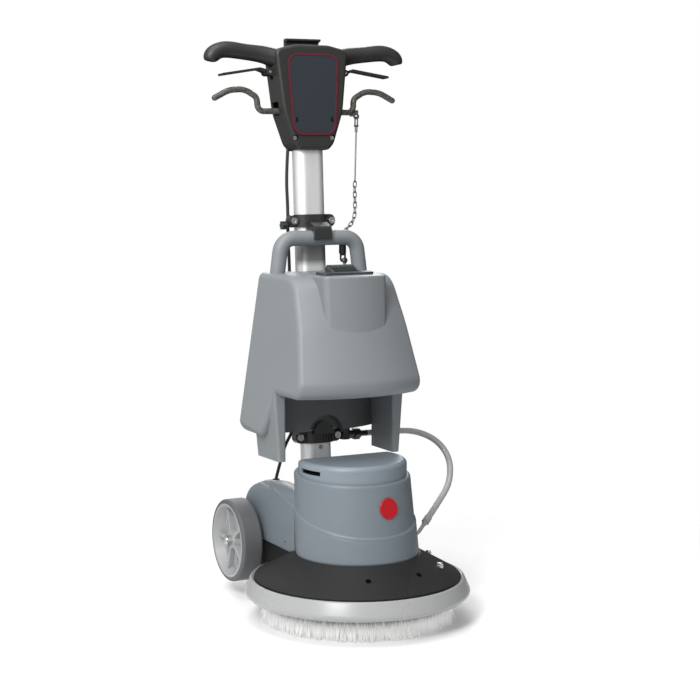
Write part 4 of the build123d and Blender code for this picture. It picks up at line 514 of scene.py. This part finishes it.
def new_tree(name, sizes):
    """A Geometry Nodes tree with a mesh input, number inputs for its sizes and one output."""
    tree = bpy.data.node_groups.new(name, "GeometryNodeTree")
    tree.interface.new_socket("Geometry", in_out="INPUT", socket_type="NodeSocketGeometry")
    tree.interface.new_socket("Geometry", in_out="OUTPUT", socket_type="NodeSocketGeometry")
    for size, value in sizes.items():
        kind = "NodeSocketInt" if isinstance(value, int) else "NodeSocketFloat"
        socket = tree.interface.new_socket(size, in_out="INPUT", socket_type=kind)
        socket.default_value = value
    given = tree.nodes.new("NodeGroupInput")
    return tree, Wire(tree), {s.name: Wire(tree, s) for s in given.outputs if s.name}


def read_attribute(wire, name, kind="FLOAT_VECTOR"):
    """A value or vector that each point of a seed carries."""
    return wire.node("GeometryNodeInputNamedAttribute", {"data_type": kind}, {"Name": name})


def end_tree(tree, geometry, material):
    """Real geometry instead of instances, a material, and the tree's output."""
    wire = Wire(tree)
    real = wire.node("GeometryNodeRealizeInstances", {}, {0: geometry})
    smooth = wire.node("GeometryNodeSetShadeSmooth", {}, {0: real})
    done = wire.node("GeometryNodeSetMaterial", {}, {"Geometry": smooth, "Material": material})
    tree.links.new(done.socket, tree.nodes.new("NodeGroupOutput").inputs[0])


def grown(name, mesh, tree, sizes=None):
    """Runs a tree on a mesh with its sizes and returns a piece with the resulting plain mesh."""
    source = add(name + "_source", mesh)
    modifier = source.modifiers.new("grow", "NODES")
    modifier.node_group = tree
    for item in tree.interface.items_tree:
        if item.in_out == "INPUT" and item.name in (sizes or {}):
            modifier[item.identifier] = sizes[item.name]
    evaluated = source.evaluated_get(bpy.context.evaluated_depsgraph_get())
    result = bpy.data.meshes.new_from_object(evaluated)
    source.modifiers.remove(modifier)
    bpy.data.objects.remove(source)
    print(name, len(result.polygons), "faces")
    return add(name, result)


def tube_tree(name, material):
    """Sweeps a circle along a line."""
    tree, wire, size = new_tree(name, {"Radius": 0.005, "Sides": TUBE_SIDES})
    line = wire.node("GeometryNodeMeshToCurve", {}, {"Mesh": size["Geometry"]})
    ring = wire.node("GeometryNodeCurvePrimitiveCircle", {}, {
        "Resolution": size["Sides"], "Radius": size["Radius"],
    })
    tube = wire.node("GeometryNodeCurveToMesh", {}, {
        "Curve": line, "Profile Curve": ring, "Fill Caps": True,
    })
    end_tree(tree, tube, material)
    return tree


print("a tube has", TUBE_SIDES, "sides")

# %% [markdown]
# ## Hose and motor cable
# Both are drawn as a mesh tube along a smooth NURBS line, whose control points are those of the
# CAD route. The line's own points are read from a curve without thickness. Then a small
# Geometry Nodes tree sweeps a circle along them. The hose and the cable's lower end cross the
# hinge of the column.

# %% The line of a cord
MM_PER_M = 1000
NURBS_ORDER = 3
NURBS_STEPS = 16


def nurbs_line(name, route):
    """Points along a NURBS line with these control points, in millimetres."""
    curve = bpy.data.curves.new(name + "_line", "CURVE")
    curve.dimensions = "3D"
    spline = curve.splines.new("NURBS")
    spline.points.add(len(route) - 1)
    for point, place in zip(spline.points, route):
        point.co = (*[c / MM_PER_M for c in place], 1)
    spline.order_u = NURBS_ORDER
    spline.use_endpoint_u = True
    spline.resolution_u = NURBS_STEPS
    holder = add(name + "_line", curve)
    evaluated = holder.evaluated_get(bpy.context.evaluated_depsgraph_get())
    line = bpy.data.meshes.new_from_object(evaluated)
    bpy.data.objects.remove(holder)
    return line


print("steps from one control point to the next", NURBS_STEPS)

# %% Hose
HOSE_ROUTE = [
    (119, 188, 336), (175, 188, 336), (234, 182, 333), (277, 162, 311),
    (292, 134, 274), (273, 103, 229.9), (234, 79, 198.9), (196, 58, 171.9),
]
HOSE_R = 0.0065

hose_line = nurbs_line("hose", HOSE_ROUTE)
hose_tree = tube_tree("hose_tube", finishes["hose_pvc"].material)
hose = grown("hose", hose_line, hose_tree, {"Radius": HOSE_R})
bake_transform(hose)
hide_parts("solution_hose")

# %% Motor cable
CABLE_ROUTE = [
    (-35.8, 242.7, 933.2), (-41.8, 239.2, 872.1), (-39.8, 235.6, 811.0), (-41.8, 232.0, 750.0),
    (-39.8, 228.5, 688.9), (-41.8, 224.9, 627.9), (-39.8, 221.4, 566.8), (-41.8, 217.8, 505.7),
    (-39.8, 214.2, 444.7), (-41.8, 210.7, 383.6), (-42.9, 208.7, 349.7), (-60.8, 208.0, 321.7),
    (-71.8, 206.3, 291.7), (-82.0, 208.0, 252.7),
]
CABLE_R = 0.0033

cable_line = nurbs_line("cable", CABLE_ROUTE)
cable_tree = tube_tree("cable_tube", finishes["cable_rubber"].material)
cable = grown("cable", cable_line, cable_tree, {"Radius": CABLE_R})
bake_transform(cable)
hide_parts("motor_cable", "cable_tail")

# %% [markdown]
# ## Bumper
# A soft grey bumper runs round the deck. It is one rubber section pressed on the deck's rim: its
# top slopes down from the deck's edge and its widest line is low. A section that goes round a
# circle is a sweep, so Geometry Nodes round the corners of a drawn section and carry it round.

# %% Bumper
PATH_R = 0.2
BUMPER_SECTION = [
    (0.2059, 0.0475), (0.217, 0.0475), (0.225, 0.0545),
    (0.225, 0.060), (0.2135, 0.0855), (0.2059, 0.0855),
]


def ring_tree(material):
    """Sweeps a section with rounded corners round a circle."""
    sizes = {"Path Radius": PATH_R, "Rounding": 0.006, "Sides": 192}
    tree, wire, size = new_tree("bumper_ring", sizes)
    section = wire.node("GeometryNodeMeshToCurve", {}, {"Mesh": size["Geometry"]})
    rounded = wire.node("GeometryNodeFilletCurve", {"mode": "POLY"}, {
        "Curve": section, "Count": FILLET_STEPS, "Radius": size["Rounding"], "Limit Radius": True,
    })
    path = wire.node("GeometryNodeCurvePrimitiveCircle", {}, {
        "Resolution": size["Sides"], "Radius": size["Path Radius"],
    })
    ring = wire.node("GeometryNodeCurveToMesh", {}, {"Curve": path, "Profile Curve": rounded})
    end_tree(tree, ring, material)
    return tree


# A sweep lays its section's X outwards from the path and its Y downwards.
section_points = [(radius - PATH_R, -height, 0) for radius, height in BUMPER_SECTION]
bumper_seed = line_mesh("bumper_section", section_points, closed=True)
bumper = grown("bumper", bumper_seed, ring_tree(finishes["bumper_grey"].material))
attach(bumper, "base")
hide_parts("bumper_ring")

# %% [markdown]
# ## Axle plates
# Between the deck and each wheel, under the housing, a black plate hides the axle's arm. It is cut
# from sheet, so its outline is drawn once from the side, given a thickness and slightly rounded
# edges, and repeated on the other side.

# %% Axle plates
PLATE_X = (0.0995, 0.104)
PLATE_OUTLINE = [
    (0.100, 0.117), (0.100, 0.131), (0.262, 0.131), (0.276, 0.117), (0.270, 0.098),
    (0.254, 0.064), (0.2045, 0.064), (0.2015, 0.072), (0.193, 0.0858), (0.176, 0.0858),
]
PLATE_BEVEL = 0.0012
PLATE_BEVEL_STEPS = 2


def sorted_mesh(name, work):
    """A mesh in a fixed order, since a bevel leaves its corners and faces in no fixed one."""
    corners = sorted(work.verts, key=lambda corner: corner.co[:])
    number = {corner: i for i, corner in enumerate(corners)}
    faces = []
    for face in work.faces:
        loop = [number[corner] for corner in face.verts]
        first = loop.index(min(loop))
        faces.append(loop[first:] + loop[:first])
    mesh = bpy.data.meshes.new(name)
    mesh.from_pydata([corner.co for corner in corners], [], sorted(faces))
    return mesh


def plate_mesh(name, outline, span):
    """Two mirrored plates with an outline in Y and Z and a thickness along X."""
    work = bmesh.new()
    for side in (-1, 1):
        corners = [work.verts.new((side * span[0], y, z)) for y, z in outline]
        pushed = bmesh.ops.extrude_face_region(work, geom=[work.faces.new(corners)])["geom"]
        moved = [v for v in pushed if isinstance(v, bmesh.types.BMVert)]
        bmesh.ops.translate(work, verts=moved, vec=(side * (span[1] - span[0]), 0, 0))
    bmesh.ops.bevel(
        work, geom=work.edges[:], offset=PLATE_BEVEL, segments=PLATE_BEVEL_STEPS, affect="EDGES",
    )
    bmesh.ops.recalc_face_normals(work, faces=work.faces)
    mesh = sorted_mesh(name, work)
    work.free()
    return mesh


plates_mesh = plate_mesh("axle_plates", PLATE_OUTLINE, PLATE_X)
plates_mesh.materials.append(finishes["deck_paint"].material)
plates = add("axle_plates", plates_mesh)
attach(plates, "base")
print("axle plates", len(plates_mesh.polygons), "faces")

# %% [markdown]
# ## Painted shade in holes
# Two holes in the front of the deck are covered by black discs, a painted shade for the dark inside
# of each hole, and a smaller black disc on each side of the housing stands for the shade in a small
# hole.
# Each disc has a place, the way that it faces and a radius, kept as attributes of a point, and
# Geometry Nodes put a disc with a sloped rim there.

# %% Hole shades
DECK_SLOPE = 0.566
DECK_HOLE_PLACE = (0.0553, -0.1520, 0.1131)
DECK_HOLE_SHADE_R = 0.0056
SIDE_HOLE_PLACE = (0.1121, 0.1014, 0.1434)
SIDE_HOLE_SHADE_R = 0.0021


def hole_shade_rows():
    """Place, facing and radius of each black disc of painted shade."""
    rows = []
    for side in (-1, 1):
        x, y, z = DECK_HOLE_PLACE
        out = Vector((side * x, y, 0)).normalized() * DECK_SLOPE
        rows.append((Vector((side * x, y, z)), out + Vector((0, 0, 1)), DECK_HOLE_SHADE_R))
        x, y, z = SIDE_HOLE_PLACE
        rows.append((Vector((side * x, y, z)), Vector((side, 0, 0)), SIDE_HOLE_SHADE_R))
    return rows


def hole_shade_tree(material):
    """A flat cone of radius 1 on each point, turned and scaled as the point says."""
    sizes = {"Thickness": 0.1, "Base": 1.0, "Top": 0.93, "Sides": 24}
    tree, wire, size = new_tree("hole_shades", sizes)
    disc = wire.node("GeometryNodeMeshCone", {"fill_type": "TRIANGLE_FAN"}, {
        "Vertices": size["Sides"], "Radius Top": size["Top"], "Radius Bottom": size["Base"],
        "Depth": size["Thickness"],
    })
    points = wire.node("GeometryNodeMeshToPoints", {}, {"Mesh": size["Geometry"]})
    turn = wire.node("FunctionNodeAlignRotationToVector", {"axis": "Z"}, {
        "Vector": read_attribute(wire, "facing"),
    })
    discs = wire.node("GeometryNodeInstanceOnPoints", {}, {
        "Points": points, "Instance": disc, "Rotation": turn,
        "Scale": read_attribute(wire, "plug_radius", "FLOAT"),
    })
    end_tree(tree, discs, material)
    return tree


places, facings, radii = zip(*hole_shade_rows())
hole_shade_seed = point_mesh("hole_shade_seed", places, facing=facings, plug_radius=radii)
# Painted shade: near-black discs in place of the dark inside of the holes.
hole_shade_black = moulded("hole_shade_black", srgb(4, 4, 4), 0.8, Specular_IOR_Level=0.05)
hole_shades = grown("hole_shades", hole_shade_seed, hole_shade_tree(hole_shade_black.material))
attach(hole_shades, "base")

# %% [markdown]
# ## Moulded ridge
# The housing's lower skin is a little thicker, and its upper edge is a soft ridge that falls from
# the rear to the front. The CAD model has a plain step there. A bead half sunk in the step rounds
# it: its line follows the cone in front and the flat sides behind, and dives in at its ends.

# %% Ridge
RIDGE_Y = [-0.240, -0.120, -0.060, 0.043, 0.131, 0.205, 0.356]
RIDGE_Z = [0.166, 0.176, 0.191, 0.216, 0.234, 0.241, 0.240]
RIDGE_SOFTEN = np.linspace(-0.03, 0.03, 13)
RIDGE_R = 0.007
RIDGE_SINK = 0.0036
RIDGE_DROP = 0.001
RIDGE_END, RIDGE_FADE = 0.200, 0.05
CONE_LOW, CONE_HIGH = 0.133, 0.290
CONE_R, CONE_TAPER, CONE_SETBACK = 0.120, 0.004, 0.024
CONE_TURNS = range(0, 140, 2)
QUARTER_TURN = 90
SIDE_X = 0.109
SIDE_START, SIDE_STEPS = 0.003, 24
SETTLE_STEPS = 12


def ridge_height(y):
    """Height of the step, averaged over a short stretch so that its bends are soft."""
    return float(np.mean(np.interp(y + RIDGE_SOFTEN, RIDGE_Y, RIDGE_Z)))


def ridge_point(turn):
    """Point of the step on the cone, turned from the front towards the right.

    Height and place depend on each other, so a few rounds settle them.
    """
    y = 0.0
    for _ in range(SETTLE_STEPS):
        z = ridge_height(y)
        share = (z - CONE_LOW) / (CONE_HIGH - CONE_LOW)
        radius = CONE_R - share * CONE_TAPER - RIDGE_SINK
        y = share * CONE_SETBACK - radius * math.cos(turn)
    return radius * math.sin(turn), y, z - RIDGE_DROP


def ridge_line():
    """Half of the ridge from the front to its rear end, mirrored to the other side."""
    half = []
    for degrees in CONE_TURNS:
        x, y, z = ridge_point(math.radians(degrees))
        if degrees > QUARTER_TURN and x < SIDE_X - RIDGE_SINK:
            break
        half.append((x, y, z))
    for y in np.linspace(half[-1][1] + SIDE_START, RIDGE_END, SIDE_STEPS):
        sunk = max(0, (y - RIDGE_END + RIDGE_FADE) / RIDGE_FADE) ** 2 * 2 * RIDGE_R
        half.append((SIDE_X - RIDGE_SINK - sunk, float(y), ridge_height(y) - RIDGE_DROP))
    return [(-x, y, z) for x, y, z in reversed(half[1:])] + half


ridge_seed = line_mesh("ridge_seed", ridge_line())
ridge_tree = tube_tree("ridge_bead", finishes["housing_plastic"].material)
ridge = grown("housing_ridge", ridge_seed, ridge_tree, {"Radius": RIDGE_R})
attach(ridge, "base")

# %% [markdown]
# ## Bristles
# A brush is thousands of nylon strands, set in tufts in the holes of its block. The CAD model has
# one solid ring. Here Geometry Nodes place points tuft by tuft on rings, lean each strand outwards
# a little, and put a thin cone of a few faces on each point. Noise then bends the lower ends, as
# on a brush that has been used. The seed is fixed, so every run gives the same brush.

# %% Bristles
TUFT_STAGGER = 0.37
STRAY_LEAN = 0.05
TIP_SHARE = 0.7
CONE_SHARE = 0.97
LENGTH_SPREAD = 0.02
WAVE_SCALE, WAVE_DETAIL = 55.0, 1.0
WAVE_MIDDLE = (0.5, 0.5, 0.5)
WAVE_REACH = (0.022, 0.022, 0.0)


def bristle_tree(material):
    """Strands on rings of tufts, leaning outwards and bent at their lower ends."""
    sizes = {
        "Rings": 6, "Tufts": 91, "Strands": 13, "Inner Radius": 0.112, "Ring Step": 0.0134,
        "Length": 0.045, "Flare": 0.17, "Spread": 0.0042, "Strand Radius": 0.0006,
        "Sides": 4, "Segments": 3, "Seed": 4,
    }
    tree, wire, size = new_tree("bristles", sizes)

    # Each strand's number says its tuft, and the tuft's number says its ring and its turn.
    count = size["Rings"] * size["Tufts"] * size["Strands"]
    index = wire.node("GeometryNodeInputIndex")
    tuft = wire.sum("FLOOR", index / size["Strands"])
    ring = wire.sum("MODULO", tuft, size["Rings"])
    turn = wire.sum("FLOOR", tuft / size["Rings"]) / size["Tufts"]
    angle = (turn + ring * TUFT_STAGGER / size["Tufts"]) * math.tau
    radius = size["Inner Radius"] + ring * size["Ring Step"]
    across, along = wire.sum("COSINE", angle), wire.sum("SINE", angle)
    stray = wire.node(
        "FunctionNodeRandomValue", {"data_type": "FLOAT_VECTOR"},
        {"Min": (-1, -1, -1), "Max": (1, 1, 1), "ID": index, "Seed": size["Seed"]},
    )
    stray_x, stray_y, stray_z = stray.axes()
    place = wire.vector(
        radius * across + stray_x * size["Spread"],
        radius * along + stray_y * size["Spread"],
        size["Length"],
    )

    # The outer rings lean most. A cone grows along its Z, which is turned to point down.
    lean = size["Flare"] * ring / (size["Rings"] - 1)
    way = wire.vector(
        lean * across + stray_x * STRAY_LEAN, lean * along + stray_y * STRAY_LEAN, -1.0,
    )
    strand = wire.node("GeometryNodeMeshCone", {}, {
        "Vertices": size["Sides"], "Side Segments": size["Segments"],
        "Radius Top": size["Strand Radius"] * TIP_SHARE, "Radius Bottom": size["Strand Radius"],
        "Depth": size["Length"] * CONE_SHARE,
    })
    strands = wire.node("GeometryNodeInstanceOnPoints", {}, {
        "Points": wire.node("GeometryNodePoints", {}, {"Count": count, "Position": place}),
        "Instance": strand,
        "Rotation": wire.node("FunctionNodeAlignRotationToVector", {"axis": "Z"}, {"Vector": way}),
        "Scale": wire.vector(1.0, 1.0, 1 + stray_z * LENGTH_SPREAD),
    })
    real = wire.node("GeometryNodeRealizeInstances", {}, {0: strands})

    # Noise bends a strand sideways, more and more towards its lower end.
    here = wire.node("GeometryNodeInputPosition")
    low = 1 - here.axes()[2] / size["Length"]
    waves = wire.node(
        "ShaderNodeTexNoise", {}, {"Vector": here, "Scale": WAVE_SCALE, "Detail": WAVE_DETAIL},
        out="Color",
    )
    bend = waves
    for operation, other in [
        ("SUBTRACT", {1: WAVE_MIDDLE}),
        ("MULTIPLY", {1: WAVE_REACH}),
        ("SCALE", {"Scale": low * low}),
    ]:
        bend = wire.node("ShaderNodeVectorMath", {"operation": operation}, {0: bend, **other})
    bent = wire.node("GeometryNodeSetPosition", {}, {"Geometry": real, "Offset": bend})
    end_tree(tree, bent, material)
    return tree


bristle_seed = bpy.data.meshes.new("bristle_seed")
bristles = grown("bristles", bristle_seed, bristle_tree(finishes["bristles"].material))
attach(bristles, "brush")
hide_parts("bristle_ring")

# %% [markdown]
# ## Chain of the water pull
# A thin chain hangs between the pull wire and the spring clip. In the CAD model its links are flat
# plates. A real link is a loop of round wire, so each plate's place and directions are read from
# its corners, and Geometry Nodes put a rounded wire loop there.

# %% Chain links
SPOT_DIGITS = 6
# The rounding of a loop's ends stays just under half its width, so that the fillets don't meet.
END_SHARE = 0.499


def loose_parts(mesh):
    """Groups of corners that hang together, with corners at the same place counted as one."""
    spots = {}
    key = [
        spots.setdefault(tuple(round(c, SPOT_DIGITS) for c in v.co), len(spots))
        for v in mesh.vertices
    ]
    parent = list(range(len(spots)))

    def root(i):
        while parent[i] != i:
            parent[i] = parent[parent[i]]
            i = parent[i]
        return i

    for edge in mesh.edges:
        a, b = (root(key[v]) for v in edge.vertices)
        parent[a] = b
    groups = {}
    for spot, i in spots.items():
        groups.setdefault(root(i), []).append(spot)
    return [np.array(g) for g in groups.values()]


def link_tree(material):
    """A stadium of round wire on each point, with its long axis and its flat side given."""
    sizes = {"Length": 0.016, "Width": 0.009, "Wire": 0.0022, "Sides": 10}
    tree, wire, size = new_tree("chain_links", sizes)
    axes = {"primary_axis": "Z", "secondary_axis": "X"}
    rotation = wire.node("FunctionNodeAxesToRotation", axes, {
        "Primary Axis": read_attribute(wire, "flat"),
        "Secondary Axis": read_attribute(wire, "long"),
    })
    loop = wire.node("GeometryNodeCurvePrimitiveQuadrilateral", {}, {
        "Width": size["Length"] - size["Wire"], "Height": size["Width"] - size["Wire"],
    })
    round_loop = wire.node("GeometryNodeFilletCurve", {"mode": "POLY"}, {
        "Curve": loop, "Count": FILLET_STEPS, "Radius": (size["Width"] - size["Wire"]) * END_SHARE,
    })
    profile = wire.node("GeometryNodeCurvePrimitiveCircle", {}, {
        "Resolution": size["Sides"], "Radius": size["Wire"] / 2,
    })
    link = wire.node("GeometryNodeCurveToMesh", {}, {
        "Curve": round_loop, "Profile Curve": profile,
    })
    points = wire.node("GeometryNodeMeshToPoints", {}, {"Mesh": size["Geometry"]})
    links = wire.node("GeometryNodeInstanceOnPoints", {}, {
        "Points": points, "Instance": link, "Rotation": rotation,
    })
    end_tree(tree, links, material)
    return tree


centres, longs, flats = [], [], []
for corners in loose_parts(nodes["pull_chain"].data):
    centre = corners.mean(0)
    _, _, axes = np.linalg.svd(corners - centre, full_matrices=False)
    centres.append(centre)
    longs.append(axes[0])
    flats.append(axes[2])
chain_seed = point_mesh("chain_seed", centres, long=longs, flat=flats)
chain = grown("chain", chain_seed, link_tree(wire_steel.material))
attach(chain, "dosing_pull")
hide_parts("pull_chain")
print("chain links", len(centres))

# %% [markdown]
# ### Sleeve of the spring clip
# The clip under the chain has a soft black sleeve. It is a capsule: a ball whose upper half is
# moved up and whose lower half is moved down.

# %% Clip sleeve
def capsule_tree(material):
    """A ball pulled apart into a capsule at a place."""
    sizes = {
        "Radius": 0.0076, "Half Length": 0.0085, "X": 0.0662, "Y": 0.196, "Z": 0.7265,
        "Segments": 28, "Rings": 16,
    }
    tree, wire, size = new_tree("capsule", sizes)
    ball = wire.node("GeometryNodeMeshUVSphere", {}, {
        "Segments": size["Segments"], "Rings": size["Rings"], "Radius": size["Radius"],
    })
    half = wire.sum("SIGN", wire.node("GeometryNodeInputPosition").axes()[2])
    shift = wire.vector(size["X"], size["Y"], size["Z"] + half * size["Half Length"])
    capsule = wire.node("GeometryNodeSetPosition", {}, {"Geometry": ball, "Offset": shift})
    end_tree(tree, capsule, material)
    return tree


sleeve_seed = bpy.data.meshes.new("sleeve_seed")
sleeve = grown("clip_sleeve", sleeve_seed, capsule_tree(finishes["black_plastic"].material))
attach(sleeve, "dosing_pull")

# %% [markdown]
# ## Studio
# A product picture has a white floor that runs into a white background. Here the floor is a disc
# whose edge fades away, so no horizon shows from any side. The light is a soft sky that is brighter
# towards the upper left, as from a large softbox, with three lamps, of which the last lights the
# rear.

# %% Floor
FLOOR_R = 1.4
FLOOR_SIDES = 64
FLOOR_FADE = (1.3, 0.3)

turns = [i * math.tau / FLOOR_SIDES for i in range(FLOOR_SIDES)]
rim = [(FLOOR_R * math.cos(t), FLOOR_R * math.sin(t), 0) for t in turns]
floor_mesh = bpy.data.meshes.new("floor")
floor_mesh.from_pydata(rim, [], [list(range(FLOOR_SIDES))])
floor = add("floor", floor_mesh)
floor_finish = moulded(
    "studio_floor", srgb(245, 245, 245), 0.75, grain=60, depth=0.0001, cloud=0.005,
    Emission_Color=WHITE, Emission_Strength=0.04,
)
reach = floor_finish.wire.node(
    "ShaderNodeVectorMath", {"operation": "LENGTH"}, {0: floor_finish.place}, out="Value",
)
floor_finish.feed("Alpha", floor_finish.ramp(reach, *FLOOR_FADE, "SMOOTHSTEP"))
floor_mesh.materials.append(floor_finish.material)
print("floor radius", FLOOR_R)

# %% Sky
BRIGHT_SIDE = Vector((-0.8, -0.35, 0.6)).normalized()
SKY_MIDDLE, SKY_SWING, SKY_LEAST = 0.36, 0.49, 0.04

world = bpy.data.worlds.new("studio")
scene.world = world
world.use_nodes = True
sky = world.node_tree.nodes["Background"]
sky.inputs["Color"].default_value = WHITE
studio = Wire(world.node_tree)
way = studio.node("ShaderNodeTexCoord", out="Generated")
side = studio.node(
    "ShaderNodeVectorMath", {"operation": "DOT_PRODUCT"}, {0: way, 1: BRIGHT_SIDE}, out="Value",
)
seen = studio.node("ShaderNodeLightPath", out="Is Camera Ray")
glow = studio.sum("MAXIMUM", SKY_MIDDLE + side * SKY_SWING, SKY_LEAST)
strength = seen + (1 - seen) * glow
world.node_tree.links.new(strength.socket, sky.inputs["Strength"])
scene.view_settings.view_transform = "Standard"
print("sky is brightest towards", [round(c, 2) for c in BRIGHT_SIDE])

# %% Lamps
MIDDLE = Vector((0, 0.1, 0.55))
# Place, size and power of each square lamp.
LAMPS = {
    "key": ((-2.2, -1.8, 2.5), 1.1, 85),
    "top": ((-0.6, -0.2, 3.0), 1.6, 30),
    "back": ((1.2, 2.8, 1.9), 1.6, 40),
}

for name, (place, size, power) in LAMPS.items():
    light = bpy.data.lights.new(name, "AREA")
    light.size = size
    light.energy = power
    lamp = add(name, light)
    lamp.location = place
    aim(lamp, MIDDLE - Vector(place))
print("lamps", len(LAMPS))
